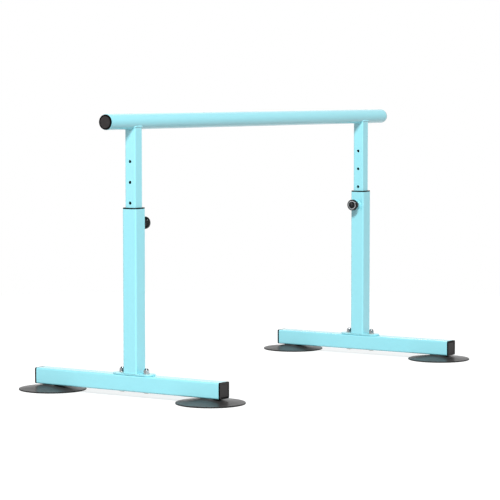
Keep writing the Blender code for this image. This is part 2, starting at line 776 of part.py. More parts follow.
def build_upper_post(side, stand, meshes, finish):
    """The upper post, with its holes and the saddle for the barre, and its end guide."""
    barre_radius = BARRE_DIAMETER / 2 + SEAT_GAP
    half_side = UPPER_POST_SIDE / 2
    saddle_edge = sqrt(barre_radius**2 - half_side**2)
    top = BARRE_HEIGHT - saddle_edge + UPPER_POST_WALL
    length = top - UPPER_POST_BOTTOM
    mesh = square_tube(
        f"{side}_upper_post",
        UPPER_POST_SIDE,
        UPPER_POST_WALL,
        UPPER_POST_CORNER,
        length,
    )
    upper_post = add_object(
        f"{side}_upper_post", mesh, finish["paint"], stand, (0, 0, UPPER_POST_BOTTOM)
    )
    holes = []
    for number in range(-HOLES_BELOW_PIN, HOLES_ABOVE_PIN + 1):
        height = PIN_HEIGHT + number * HOLE_PITCH
        holes.append(((-height, 0, 0), PIN_RADIUS + FIT_GAP, 2 * UPPER_POST_SIDE))
    cut(upper_post, add_cutter(f"{side}_adjustment_holes", holes, stand, (0, pi / 2, 0)))
    saddle = [((-BARRE_HEIGHT, 0, 0), barre_radius, 2 * UPPER_POST_SIDE)]
    cutter = add_cutter(f"{side}_barre_saddle", saddle, stand, (0, pi / 2, 0), BARRE_SEGMENTS)
    cut(upper_post, cutter)
    add_object(
        f"{side}_post_end_guide",
        meshes["post_end_guide"],
        finish["plastic"],
        stand,
        (0, 0, UPPER_POST_BOTTOM - SEAT_GAP),
    )


def build_plunger(side, stand, meshes, finish):
    """The sprung locking pin on the lower post's inner face, pulled out along local +X."""
    for piece, material in (
        ("plunger_boss", finish["paint"]),
        ("plunger_barrel", finish["zinc"]),
        ("plunger_pin", finish["zinc"]),
        ("plunger_spring", finish["zinc"]),
        ("plunger_knob", finish["knob"]),
    ):
        add_object(
            f"{side}_{piece}",
            meshes[piece],
            material,
            stand,
            (LOWER_POST_SIDE / 2, 0, PIN_HEIGHT),
            (0, pi / 2, 0),
        )


def build_stand(side, way, meshes, finish):
    """One stand on an empty at its post's axis. The right one is turned half a turn."""
    stand = bpy.data.objects.new(f"{side}_stand", None)
    stand.location = (way * POST_SPACING / 2, 0, 0)
    stand.rotation_euler = (0, 0, pi if way > 0 else 0)
    bpy.context.scene.collection.objects.link(stand)
    ends = (("front", way), ("rear", -way))
    foot_tube = build_foot(side, stand, ends, meshes, finish)
    build_base_joint(side, stand, ends, meshes, finish, foot_tube)
    build_lower_post(side, stand, meshes, finish)
    build_upper_post(side, stand, meshes, finish)
    build_plunger(side, stand, meshes, finish)


def build_barre(finish):
    """The barre along X, and its end caps."""
    add_object(
        "barre_tube",
        barre_tube_mesh(),
        finish["paint"],
        location=(0, 0, BARRE_HEIGHT),
        rotation=(0, pi / 2, 0),
    )
    cap = barre_cap_mesh()
    for side, way in (("left", -1), ("right", 1)):
        add_object(
            f"{side}_barre_end_cap",
            cap,
            finish["plastic"],
            location=(way * (POST_SPACING / 2 + BARRE_OVERHANG), 0, BARRE_HEIGHT),
            rotation=(0, way * pi / 2, 0),
        )


def main():
    """Clears the scene and builds the barre."""
    for obj in list(bpy.data.objects):
        bpy.data.objects.remove(obj)
    finish = make_materials()
    meshes = make_stand_meshes()
    build_barre(finish)
    for side, way in (("left", -1), ("right", 1)):
        build_stand(side, way, meshes, finish)


main()
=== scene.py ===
"""Looks of a freestanding ballet barre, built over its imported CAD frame.

The barre runs along X, on two stands of one design, and the right stand is the left one turned half
a turn. Each stand is built in its own frame: the axis of its post is local Z, and local +X points
inwards, to the other stand. Sizes are in metres. Where each piece starts and ends comes from the
frame's boxes, and the sizes that no box holds are fields of the classes.
"""

import logging
from dataclasses import dataclass, field
from enum import Enum
from math import cos, pi, radians, sin, sqrt, tau
from typing import Any, Callable

import bmesh
import bpy
from bmesh.types import BMEdge, BMesh, BMFace, BMVert
from mathutils import Matrix, Vector


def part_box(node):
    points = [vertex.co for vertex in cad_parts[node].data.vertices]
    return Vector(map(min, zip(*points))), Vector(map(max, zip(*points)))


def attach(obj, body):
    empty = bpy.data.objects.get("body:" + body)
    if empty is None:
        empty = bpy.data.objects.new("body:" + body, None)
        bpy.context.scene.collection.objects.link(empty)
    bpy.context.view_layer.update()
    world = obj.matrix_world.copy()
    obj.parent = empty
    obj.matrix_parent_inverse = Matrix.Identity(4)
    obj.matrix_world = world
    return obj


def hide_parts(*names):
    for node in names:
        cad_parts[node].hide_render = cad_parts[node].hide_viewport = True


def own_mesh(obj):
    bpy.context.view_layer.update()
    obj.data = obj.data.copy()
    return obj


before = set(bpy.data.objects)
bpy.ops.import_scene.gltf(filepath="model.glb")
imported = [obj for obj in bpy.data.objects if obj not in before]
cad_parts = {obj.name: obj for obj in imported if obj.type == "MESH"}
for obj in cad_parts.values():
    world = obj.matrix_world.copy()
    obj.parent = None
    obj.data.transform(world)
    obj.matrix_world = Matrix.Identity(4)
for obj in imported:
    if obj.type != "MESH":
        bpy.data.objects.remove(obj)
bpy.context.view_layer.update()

LOG = logging.getLogger("barre")

# How finely shapes are divided, and what counts as a sharp edge
MERGE_DISTANCE = 0.000001
CORNER_STEPS = 8
ROUND_STEPS = 3
ARC_STEPS = 8
TURNED_STEPS = 64
SMALL_STEPS = 48
DRILL_STEPS = 40
SHARP_ANGLE = radians(38)

# How far edges are rounded, from one that is only deburred to one that is softly moulded
CRISP = 0.0002
FINE = 0.0003
LIGHT = 0.0004
SOFT = 0.0006
ROUND = 0.0008
MOULDED = 0.0015

# How far a drill's flare starts above the face that it cuts, so that they don't share a plane
FLARE_ABOVE = 0.00001

# How deep the paint reaches into a drilled hole, as a share of the wall
PAINTED_SHARE = 0.25

# Lays what was made along Z along X
ALONG_X = Matrix.Rotation(pi / 2, 4, "Y")

# A corner of a turned profile: its radius, its height and its rounding
Corner = tuple[float, float, float]


class Side(Enum):
    """Which stand a piece belongs to."""

    LEFT = "left"
    RIGHT = "right"


class End(Enum):
    """Which end of a stand's foot: front is the world's -Y, rear is +Y."""

    FRONT = "front"
    REAR = "rear"


class Body(Enum):
    """The CAD bodies that pieces ride on."""

    BASE = "base"
    UPPER_FRAME = "upper_frame"
    LEFT_PIN = "left_pin"
    RIGHT_PIN = "right_pin"


class Cut(Enum):
    """What one closed shape does to another."""

    TAKE_AWAY = "DIFFERENCE"
    JOIN = "UNION"
    KEEP_SHARED = "INTERSECT"


def linear(colour: str) -> tuple[float, float, float, float]:
    """Turns an sRGB colour into the linear one that Blender works in.

    Args:
        colour: Six hex digits.

    Returns:
        Red, green, blue and an alpha of 1.
    """
    channels = [int(colour[i : i + 2], 16) / 255 for i in (0, 2, 4)]
    low = [channel / 12.92 for channel in channels]
    high = [((channel + 0.055) / 1.055) ** 2.4 for channel in channels]
    red, green, blue = (a if c <= 0.04045 else b for a, b, c in zip(low, high, channels))
    return red, green, blue, 1.0


def feed(tree: bpy.types.NodeTree, node: bpy.types.Node, inputs: dict[Any, Any]) -> None:
    """Gives a node's inputs their values or links.

    Args:
        tree: The node tree.
        node: The node.
        inputs: By an input's name or number, its value or the output that feeds it.
    """
    for key, value in inputs.items():
        if isinstance(value, bpy.types.NodeSocket):
            tree.links.new(value, node.inputs[key])
        else:
            node.inputs[key].default_value = value


def add_node(
    tree: bpy.types.NodeTree, kind: str, settings: dict[str, Any], inputs: dict[Any, Any]
) -> bpy.types.Node:
    """Adds one node with its settings and links.

    Args:
        tree: The node tree.
        kind: The node's type.
        settings: The node's own properties.
        inputs: By an input's name or number, its value or the output that feeds it.

    Returns:
        The node.
    """
    node = tree.nodes.new(kind)
    for name, value in settings.items():
        setattr(node, name, value)
    feed(tree, node, inputs)
    return node


@dataclass(frozen=True)
class Pattern:
    """An uneven pattern: how long its patches are, how many finer sizes it has, and their share."""

    length: float
    detail: float
    share: float = 0.5


@dataclass(frozen=True)
class Finish:
    """What every finish has: two colours in patches, an uneven polish and a fine relief.

    A range says between which strengths of a pattern its effect goes from none to all. The polish
    span is what the pattern adds to the roughness. Without a pattern of its own, the polish
    follows the patches.
    """

    slot: str
    name: str
    colour: str
    roughness: float
    patch_colour: str
    patches: Pattern
    patch_range: tuple[float, float] = (0.0, 1.0)
    polish: Pattern | None = None
    polish_range: tuple[float, float] = (0.3, 0.7)
    polish_span: tuple[float, float] = (-0.05, 0.05)
    relief: Pattern | None = None
    relief_depth: float = 0.0001
    relief_strength: float = 0.5
    specular: float = 0.5
    metallic: float = 0.0

    def material(self) -> bpy.types.Material:
        """The finish's material, made when it is first asked for.

        Returns:
            The material.
        """
        found = bpy.data.materials.get(self.name)
        if found is None:
            found = bpy.data.materials.new(self.name)
            found.use_nodes = True
            found.diffuse_color = linear(self.colour)
            self.dress(found.node_tree, found.node_tree.nodes["Principled BSDF"])
        return found

    def dress(self, tree: bpy.types.NodeTree, shader: bpy.types.Node) -> None:
        """Adds the patches to the colour, the polish to the roughness and the relief.

        Args:
            tree: The material's node tree.
            shader: Its main shader.
        """
        place = add_node(tree, "ShaderNodeTexCoord", {}, {}).outputs["Object"]
        strengths = {}
        for pattern in (self.patches, self.polish, self.relief):
            if pattern is not None:
                shape = {"Detail": pattern.detail, "Roughness": pattern.share}
                inputs = {"Vector": place, "Scale": 1 / pattern.length, **shape}
                noise = add_node(tree, "ShaderNodeTexNoise", {}, inputs)
                strengths[pattern] = noise.outputs["Fac"]
        low, high = self.patch_range
        patchy = add_node(
            tree,
            "ShaderNodeMapRange",
            {},
            {"Value": strengths[self.patches], "From Min": low, "From Max": high},
        )
        tint = add_node(
            tree,
            "ShaderNodeMix",
            {"data_type": "RGBA"},
            {0: patchy.outputs["Result"], 6: linear(self.colour), 7: linear(self.patch_colour)},
        )
        low, high = self.polish_range
        brightest, dullest = self.polish_span
        dull = add_node(
            tree,
            "ShaderNodeMapRange",
            {},
            {
                "Value": strengths[self.polish or self.patches],
                "From Min": low,
                "From Max": high,
                "To Min": self.roughness + brightest,
                "To Max": self.roughness + dullest,
            },
        )
        skin = {"Base Color": tint.outputs[2], "Roughness": dull.outputs["Result"]}
        if self.relief is not None:
            height = strengths[self.relief]
            size = {"Strength": self.relief_strength, "Distance": self.relief_depth}
            bump = add_node(tree, "ShaderNodeBump", {}, {**size, "Height": height})
            skin["Normal"] = bump.outputs["Normal"]
        skin |= {"Specular IOR Level": self.specular, "Metallic": self.metallic}
        feed(tree, shader, skin)


@dataclass(frozen=True)
class PowderCoat(Finish):
    """Polyester powder coat, sprayed on steel tube and baked.

    It gives an even, deep colour under a clear gloss that waves a little, as the skin of an orange
    does, with a faint cloudiness where the coat lies thicker.
    """

    patch_colour: str = "98e3ee"
    patches: Pattern = Pattern(0.26, 3.0, 0.6)
    polish: Pattern | None = Pattern(0.0016, 2.0)
    polish_span: tuple[float, float] = (-0.06, 0.06)
    # The real waves are 2 to 4 mm long, less than two pixels, so they are drawn a little longer.
    relief: Pattern | None = Pattern(0.0055, 1.0)
    relief_depth: float = 0.0003
    relief_strength: float = 0.6
    gloss: float = 0.9
    gloss_roughness: float = 0.24

    def dress(self, tree: bpy.types.NodeTree, shader: bpy.types.Node) -> None:
        """Adds the clear gloss, which waves as the coat does.

        Args:
            tree: The material's node tree.
            shader: Its main shader.
        """
        super().dress(tree, shader)
        waves = shader.inputs["Normal"].links[0].from_socket
        gloss = {"Coat Weight": self.gloss, "Coat Roughness": self.gloss_roughness}
        feed(tree, shader, {**gloss, "Coat Normal": waves})


@dataclass(frozen=True)
class MouldedPlastic(Finish):
    """Injection-moulded polyethylene or polyamide, its mould textured or polished.

    It gives a dense black with a fine pebble grain, and faint scuffs that are a little greyer.
    """

    patch_colour: str = "3a3737"
    # The scuffs are about 11 mm long, and show only where their pattern is strong.
    patches: Pattern = Pattern(1 / 90, 5.0)
    patch_range: tuple[float, float] = (0.45, 0.75)
    polish_range: tuple[float, float] = (0.0, 1.0)
    polish_span: tuple[float, float] = (-0.08, 0.08)
    # The real grain is 0.2 to 0.5 mm, too fine to show, so it is drawn at about a millimetre.
    relief: Pattern | None = Pattern(0.0011, 3.0)
    relief_depth: float = 0.0003
    specular: float = 0.35


@dataclass(frozen=True)
class MouldedRubber(Finish):
    """Soft black rubber or PVC, moulded as one disc.

    It gives a satin black with a slow, uneven sheen, and a bloom of dust that greys it in patches.
    """

    patch_colour: str = "424141"
    patches: Pattern = Pattern(0.045, 4.0, 0.6)
    polish_span: tuple[float, float] = (-0.05, 0.07)
    # The real pores are under 0.3 mm, so they are drawn at about a millimetre and a half.
    relief: Pattern | None = Pattern(0.0015, 2.0)
    relief_depth: float = 0.0002
    relief_strength: float = 0.3
    specular: float = 0.13


@dataclass(frozen=True)
class PlatedMetal(Finish):
    """Steel with a bright plating, zinc or nickel and chrome.

    It gives a clear metal reflection that waves very slightly. Zinc is a little milky, with a pale
    straw bloom. Chrome and nickel are even, and laid darker than real plate: a painted reflection of
    darker surroundings.
    """

    patch_colour: str = "d8d6cc"
    # The bloom's patches are about 8 mm long.
    patches: Pattern = Pattern(1 / 130, 4.0)
    relief: Pattern | None = Pattern(0.003, 1.0)
    relief_strength: float = 0.4
    metallic: float = 1.0


@dataclass(frozen=True)
class BareSteel(Finish):
    """Mill-finished steel inside a tube, where the paint doesn't reach, laid near-black so that it
    also paints the shade inside the tube and its holes.

    It gives a dull dark grey with brown patches of old oil and light rust.
    """

    patch_colour: str = "30271f"
    patches: Pattern = Pattern(0.03, 5.0, 0.65)
    polish_range: tuple[float, float] = (0.0, 1.0)
    polish_span: tuple[float, float] = (-0.1, 0.1)
    metallic: float = 0.3


PAINT = PowderCoat("turquoise_paint", "turquoise_powder_coat", "8fdeeb", 0.38)
# The caps' border is painted near-black, darker than their field: painted shade on the rounded rim.
# The collars and end guides take the same dark plastic.
CAP_BORDER = MouldedPlastic(
    "black_plastic", "moulded_black_plastic", "0b0a0a", 0.42, "131212", specular=0.04
)
CAP_FIELD = MouldedPlastic(
    "black_plastic", "textured_black_plastic", "262323", 0.55, "312e2e", specular=0.28
)
KNOB_PLASTIC = MouldedPlastic(
    "gloss_black_plastic",
    "polished_black_plastic",
    "0a0b0c",
    0.12,
    "151516",
    relief=Pattern(0.004, 3.0),
    relief_depth=0.00004,
    specular=0.2,
)
# The inside of the tubes and the walls of their holes are near-black steel: partly bare steel,
# partly painted shade that makes the holes read dark.
TUBE_INSIDE_AND_HOLE_SHADE = BareSteel("turquoise_paint", "bare_steel_and_hole_shade", "1d1c1c", 0.68)
RUBBER = MouldedRubber("black_rubber", "dusty_black_rubber", "323131", 0.33)
# The cup's thin rim is painted near-black: painted shade on the sideways-facing edge and where it
# meets the floor.
RUBBER_RIM_SHADE = MouldedRubber(
    "black_rubber", "rubber_rim_painted_shade", "101111", 0.5, "1c1d1d", specular=0.15
)
ZINC = PlatedMetal("zinc_plated_steel", "bright_zinc_plate", "b4babd", 0.28)
# The nuts' chrome is laid dark grey, darker than real chrome: a painted reflection of darker
# surroundings.
CHROME = PlatedMetal(
    "chrome_plate", "chrome_plate_painted_dark_reflection", "8f9396", 0.07, "878b8e", polish_span=(-0.02, 0.02)
)
# The knob's groove floor gets bright satin nickel: a painted highlight for the light that the
# groove's edge catches.
RING_HIGHLIGHT_NICKEL = PlatedMetal(
    "chrome_plate", "knob_ring_painted_highlight", "8b8e90", 0.2, "979a9c", polish_span=(-0.03, 0.03)
)


def new_verts(made: dict[str, list[Any]]) -> list[BMVert]:
    """The vertices that an extrusion made."""
    return [item for item in made["geom"] if isinstance(item, BMVert)]


def closed(bm: BMesh) -> BMesh:
    """Merges a shape's doubles and turns its faces outwards.

    Args:
        bm: The shape.

    Returns:
        The same shape.
    """
    bmesh.ops.remove_doubles(bm, verts=bm.verts, dist=MERGE_DISTANCE)
    bmesh.ops.recalc_face_normals(bm, faces=bm.faces)
    return bm


def moved(bm: BMesh, matrix: Matrix) -> BMesh:
    """Moves a shape and returns it."""
    bmesh.ops.transform(bm, matrix=matrix, verts=bm.verts)
    return bm


def lifted(bm: BMesh, height: float) -> BMesh:
    """Moves a shape up and returns it."""
    return moved(bm, Matrix.Translation((0, 0, height)))


def rounded(bm: BMesh, corners: list[Any], width: float, affect: str, steps: int) -> None:
    """Rounds some of a shape's vertices or edges.

    Args:
        bm: The shape.
        corners: What is rounded.
        width: How far the rounding reaches.
        affect: VERTICES or EDGES, whose rounding is kept clear of its neighbours.
        steps: How many flats make it.
    """
    bmesh.ops.bevel(
        bm,
        geom=corners,
        offset=width,
        offset_type="OFFSET",
        affect=affect,
        segments=steps,
        profile=0.5,
        material=-1,
        clamp_overlap=affect == "EDGES",
    )


def lathe(profile: list[Corner], steps: int = TURNED_STEPS, ring: bool = False) -> BMesh:
    """Turns a half section about Z into a solid.

    Args:
        profile: The section's corners. A rounded one becomes an arc.
        steps: How many steps make the full turn.
        ring: Whether the section closes on itself, clear of the axis.

    Returns:
        The solid.
    """
    bm = bmesh.new()
    points = [bm.verts.new((radius, 0, height)) for radius, height, _ in profile]
    for pair in zip(points, points[1:]):
        bm.edges.new(pair)
    if ring:
        bm.edges.new((points[-1], points[0]))
    for point, (_, _, rounding) in zip(points, profile):
        if rounding:
            rounded(bm, [point], rounding, "VERTICES", ROUND_STEPS)
    bmesh.ops.spin(
        bm,
        geom=bm.verts[:] + bm.edges[:],
        cent=(0, 0, 0),
        axis=(0, 0, 1),
        angle=tau,
        steps=steps,
        use_merge=True,
    )
    return closed(bm)


def bar(width: float, depth: float, corner: float, length: float, wall: float = 0.0) -> BMesh:
    """A straight bar or tube, up from the origin, whose section has round corners.

    Args:
        width: Its size along X.
        depth: Its size along Y.
        corner: The radius of its corners.
        length: Its size along Z.
        wall: The thickness of its wall, or 0 for a solid bar.

    Returns:
        The bar.
    """
    bm = bmesh.new()
    bmesh.ops.create_grid(bm, x_segments=1, y_segments=1, size=0.5)
    bmesh.ops.scale(bm, vec=(width, depth, 1), verts=bm.verts)
    rounded(bm, bm.verts[:], corner, "VERTICES", CORNER_STEPS)
    if wall:
        made = bmesh.ops.inset_region(
            bm, faces=bm.faces[:], thickness=wall, use_boundary=True, use_even_offset=True
        )
        middle = [face for face in bm.faces if face not in made["faces"]]
        bmesh.ops.delete(bm, geom=middle, context="FACES")
    return raised(bm, length)


def hexagon(across_flats: float, height: float) -> BMesh:
    """A nut's blank, up from the origin.

    Args:
        across_flats: Its width between two flats.
        height: Its height.

    Returns:
        The blank.
    """
    bm = bmesh.new()
    radius = across_flats / 2 / cos(pi / 6)
    bmesh.ops.create_circle(bm, cap_ends=True, segments=6, radius=radius)
    return raised(bm, height)


def raised(bm: BMesh, height: float) -> BMesh:
    """Gives a flat shape its height.

    Args:
        bm: The shape.
        height: How far up it goes.

    Returns:
        The same shape, closed.
    """
    made = bmesh.ops.extrude_face_region(bm, geom=bm.faces[:])
    bmesh.ops.translate(bm, vec=(0, 0, height), verts=new_verts(made))
    return closed(bm)


def extent(bm: BMesh) -> tuple[Vector, Vector]:
    """The lowest and highest corners of a shape's box.

    Args:
        bm: The shape.

    Returns:
        The two corners.
    """
    low = Vector(min(vert.co[i] for vert in bm.verts) for i in range(3))
    high = Vector(max(vert.co[i] for vert in bm.verts) for i in range(3))
    return low, high


def dress_faces(bm: BMesh, test: Callable[[BMFace], bool]) -> BMesh:
    """Gives the faces that pass a test the second of the piece's materials.

    Args:
        bm: The shape.
        test: The test.

    Returns:
        The same shape.
    """
    for face in bm.faces:
        if test(face):
            face.material_index = 1
    return bm


def dress_bore(bm: BMesh, side: float, corner: float, wall: float, axis: str) -> BMesh:
    """Gives the inner faces of a square tube, and the walls of its holes, its second material, whose
    near-black is partly painted shade.

    Args:
        bm: The tube.
        side: Its side.
        corner: The radius of its corners.
        wall: The thickness of its wall.
        axis: The axis that it lies along, Y or Z.

    Returns:
        The same tube.
    """
    low, high = extent(bm)
    centre = (low + high) / 2
    across = (0, 1) if axis == "Z" else (0, 2)
    flat = side / 2 - corner

    def inside(face: BMFace) -> bool:
        """Whether a face is in the tube's bore, or in a hole through its wall."""
        middle = face.calc_center_median() - centre
        past = Vector(abs(middle[i]) - flat for i in across)
        beyond = Vector(max(way, 0) for way in past)
        depth = corner - beyond.length - min(max(past), 0)
        return depth > wall * PAINTED_SHARE

    return dress_faces(bm, inside)


def cutter(profile: list[Corner], axis: str, centre: Vector) -> BMesh:
    """Turns a half section into a cutter.

    Args:
        profile: The section's corners.
        axis: The axis that it lies along, X or Z.
        centre: Its middle.

    Returns:
        The cutter.
    """
    turn = ALONG_X if axis == "X" else Matrix()
    return moved(lathe(profile, DRILL_STEPS), Matrix.Translation(centre) @ turn)


def pin_through(radius: float, length: float, axis: str, centre: Vector) -> BMesh:
    """A round cutter, longer than what it goes through.

    Args:
        radius: Its radius.
        length: Its length.
        axis: The axis that it lies along, X or Z.
        centre: Its middle.

    Returns:
        The cutter.
    """
    half = length / 2
    section = [(0, half, 0), (radius, half, 0), (radius, -half, 0), (0, -half, 0)]
    return cutter(section, axis, centre)


def drill(radius: float, rim: float, reach: float, axis: str, centre: Vector) -> BMesh:
    """A round cutter that rounds the rims of its hole, in the outer faces at its two ends.

    Args:
        radius: The hole's radius.
        rim: The rounding of its rims.
        reach: How far those faces are from its middle.
        axis: The axis that it lies along, X or Z.
        centre: Its middle.

    Returns:
        The cutter.
    """
    wide, over, far = radius + 2 * rim, reach + FLARE_ABOVE, reach + 2 * rim
    half = [(0, far, 0), (wide, far, 0), (wide, over, 0), (radius, over, rim)]
    other_half = [(r, -height, rounding) for r, height, rounding in reversed(half)]
    return cutter(half + other_half, axis, centre)


def worked(bm: BMesh, tools: list[BMesh], cut: Cut = Cut.TAKE_AWAY) -> BMesh:
    """Cuts closed shapes out of a solid, or joins them to it. All that is given is used up.

    Args:
        bm: The solid.
        tools: The shapes, clear of each other.
        cut: What they do to it.

    Returns:
        The new solid.
    """
    for tool in tools[1:]:
        mesh = bpy.data.meshes.new("tool")
        tool.to_mesh(mesh)
        tool.free()
        tools[0].from_mesh(mesh)
        bpy.data.meshes.remove(mesh)
    shapes = []
    for shape in (bm, tools[0]):
        mesh = bpy.data.meshes.new("work")
        shape.to_mesh(mesh)
        shape.free()
        obj = bpy.data.objects.new("work", mesh)
        bpy.context.scene.collection.objects.link(obj)
        shapes.append(obj)
    modifier = shapes[0].modifiers.new("cut", "BOOLEAN")
    modifier.operation = cut.value
    modifier.solver = "EXACT"
    modifier.object = shapes[1]
    result = bmesh.new()
    result.from_object(shapes[0], bpy.context.evaluated_depsgraph_get())
    for obj in shapes:
        mesh = obj.data
        bpy.data.objects.remove(obj)
        bpy.data.meshes.remove(mesh)
    return closed(result)


def softened(bm: BMesh, width: float) -> BMesh:
    """Rounds a solid's sharp edges.

    Args:
        bm: The solid.
        width: How far the rounding reaches from each edge.

    Returns:
        The same solid.
    """
    sharp = [e for e in bm.edges if e.is_manifold and e.calc_face_angle() > SHARP_ANGLE]
    rounded(bm, sharp, width, "EDGES", ROUND_STEPS)
    return closed(bm)


def swept(
    path: list[Vector], outs: list[Vector], radii: list[float], sides: int, loop: bool
) -> BMesh:
    """Runs a round section along a path, as a bead of weld or a wire.

    Args:
        path: The points of its middle line.
        outs: At each point, a way out from the path that the section keeps to.
        radii: The section's radius at each point.
        sides: How many sides the section has.
        loop: Whether the path closes on itself.

    Returns:
        The bead or wire, closed.
    """
    places = []
    last = len(path) - 1
    for i, (point, out, radius) in enumerate(zip(path, outs, radii)):
        before = path[i - 1] if loop or i else point
        after = path[(i + 1) % len(path)] if loop or i < last else point
        along = (after - before).normalized()
        side = (out - along * out.dot(along)).normalized()
        axes = Matrix((side, along.cross(side), along)).transposed().to_4x4()
        places.append(Matrix.Translation(point) @ axes @ Matrix.Scale(radius, 4))
    bm = bmesh.new()
    ring = bmesh.ops.create_circle(bm, segments=sides, radius=1, matrix=places[0])["verts"]
    first = edges = list({edge for vert in ring for edge in vert.link_edges})
    for here, there in zip(places, places[1:]):
        made = bmesh.ops.extrude_edge_only(bm, edges=edges)
        verts = set(new_verts(made))
        bmesh.ops.transform(bm, matrix=there @ here.inverted(), verts=list(verts))
        edges = [e for e in made["geom"] if isinstance(e, BMEdge) and set(e.verts) <= verts]
    if loop:
        bmesh.ops.bridge_loops(bm, edges=first + edges)
    else:
        bmesh.ops.edgeloop_fill(bm, edges=first)
        bmesh.ops.edgeloop_fill(bm, edges=edges)
    return closed(bm)


def round_post(side: float, corner: float, count: int) -> tuple[list[Vector], list[Vector]]:
    """Evenly spaced points round a square post's section.

    Args:
        side: The post's side.
        corner: The radius of its corners.
        count: How many points.

    Returns:
        The points, at height 0, and the way out from the post at each.
    """
    flat = side - 2 * corner
    quarter_run = flat + corner * pi / 2
    points, outs = [], []
    for i in range(count):
        quarter, run = divmod(i / count * 4 * quarter_run, quarter_run)
        angle = max(run - flat, 0) / corner
        out = Vector((cos(angle), sin(angle), 0))
        point = Vector((flat / 2, min(run, flat) - flat / 2, 0)) + corner * out
        turn = Matrix.Rotation(quarter * pi / 2, 3, "Z")
        points.append(turn @ point)
        outs.append(turn @ out)
    return points, outs


@dataclass(frozen=True)
class Weld:
    """A bead of weld: a row of overlapping ripples, which the paint covers.

    Its wavers make it uneven. Each has a depth, how far it goes on with each ripple, and a start.
    """

    radius: float
    ripple: float = 0.0025
    ripple_points: int = 6
    ripple_share: float = 0.14
    wavers: tuple[tuple[float, float, float], ...] = ((0.05, 2.4, 0.0), (0.04, 0.9, 1.0))
    sides: int = 10

    def count(self, run: float) -> int:
        """How many points a run of weld has, for whole ripples."""
        return max(round(run / self.ripple), 3) * self.ripple_points

    def bead(self, path: list[Vector], outs: list[Vector]) -> BMesh:
        """Lays the bead along a closed path.

        Args:
            path: Its middle line.
            outs: The way out from the path at each point.

        Returns:
            The bead.
        """
        radii = []
        for i in range(len(path)):
            ripple, step = divmod(i, self.ripple_points)
            share = step / self.ripple_points
            uneven = sum(depth * sin(ripple * pace + start) for depth, pace, start in self.wavers)
            radii.append(self.radius * (1 + uneven - self.ripple_share * share**2))
        return swept(path, outs, radii, self.sides, True)


@dataclass(frozen=True)
class Site:
    """A frame that pieces are built in."""

    prefix: str = ""
    matrix: Matrix = field(default_factory=Matrix)

    def box(self, node: str) -> tuple[Vector, Vector]:
        """The box of a CAD node in this frame.

        Args:
            node: The node's name without the site's prefix.

        Returns:
            Its lowest and highest corners.
        """
        back = self.matrix.inverted()
        one, other = (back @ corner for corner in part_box(self.prefix + node))
        return Vector(map(min, one, other)), Vector(map(max, one, other))

    def middle(self, node: str) -> Vector:
        """The middle of a CAD node's box in this frame."""
        low, high = self.box(node)
        return (low + high) / 2

    def width(self, node: str) -> float:
        """A CAD node's size along this frame's X."""
        low, high = self.box(node)
        return high.x - low.x

    def height(self, node: str) -> float:
        """A CAD node's size along this frame's Z."""
        low, high = self.box(node)
        return high.z - low.z


WORLD = Site()


@dataclass(frozen=True)
class Stand(Site):
    """One stand's own frame, with its post's axis as local Z."""

    side: Side = Side.LEFT

    @classmethod
    def at(cls, side: Side) -> "Stand":
        """Finds a stand's frame from where its lower post is.

        Args:
            side: Which stand.

        Returns:
            The stand.
        """
        low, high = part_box(f"{side.value}_lower_post")
        axis = Vector(((low.x + high.x) / 2, (low.y + high.y) / 2, 0))
        turn = Matrix.Rotation(pi if side is Side.RIGHT else 0, 4, "Z")
        return cls(f"{side.value}_", Matrix.Translation(axis) @ turn, side)

    def way(self, end: End) -> int:
        """Which way along local Y an end lies, as 1 or -1."""
        turned = self.side is Side.RIGHT
        return 1 if (end is End.FRONT) == turned else -1

    def pin_body(self) -> Body:
        """The body of this stand's locking pin."""
        return Body.LEFT_PIN if self.side is Side.LEFT else Body.RIGHT_PIN


@dataclass
class SubAssembly:
    """Pieces that are built in one site and handed over to the scene."""

    site: Site

    def stood(self, bm: BMesh, node: str, height: float = 0.0) -> BMesh:
        """Moves a shape from the origin to a CAD node's upright axis, at a height."""
        middle = self.site.middle(node)
        return moved(bm, Matrix.Translation((middle.x, middle.y, height)))

    def hand_over(
        self, bm: BMesh, piece: str, body: Body, *finishes: Finish, node: bool = True
    ) -> bpy.types.Object:
        """Makes a shape a piece of the scene, in its place, finished, and riding on its body.

        Args:
            bm: The shape, in the site's frame. It is used up.
            piece: The piece's name without the site's prefix, as its CAD node has it.
            body: What it rides on.
            finishes: Its finishes, by the numbers that its faces have.
            node: Whether it stands for a CAD node, or is one more piece.

        Returns:
            The piece.
        """
        closed(moved(bm, self.site.matrix))
        name = f"{self.site.prefix}{piece}"
        mesh = bpy.data.meshes.new(f"{name}_shape")
        bm.to_mesh(mesh)
        bm.free()
        mesh.shade_smooth()
        mesh.set_sharp_from_angle(angle=SHARP_ANGLE)
        for finish in finishes:
            mesh.materials.append(finish.material())
        made = bpy.data.objects.new(f"{name}_detailed" if node else name, mesh)
        bpy.context.scene.collection.objects.link(made)
        shading = made.modifiers.new("even_shading", "WEIGHTED_NORMAL")
        shading.keep_sharp = True
        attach(made, body.value)
        if node:
            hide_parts(name)
        LOG.info("%s: %d faces, on %s", made.name, len(mesh.polygons), body.value)
        return made


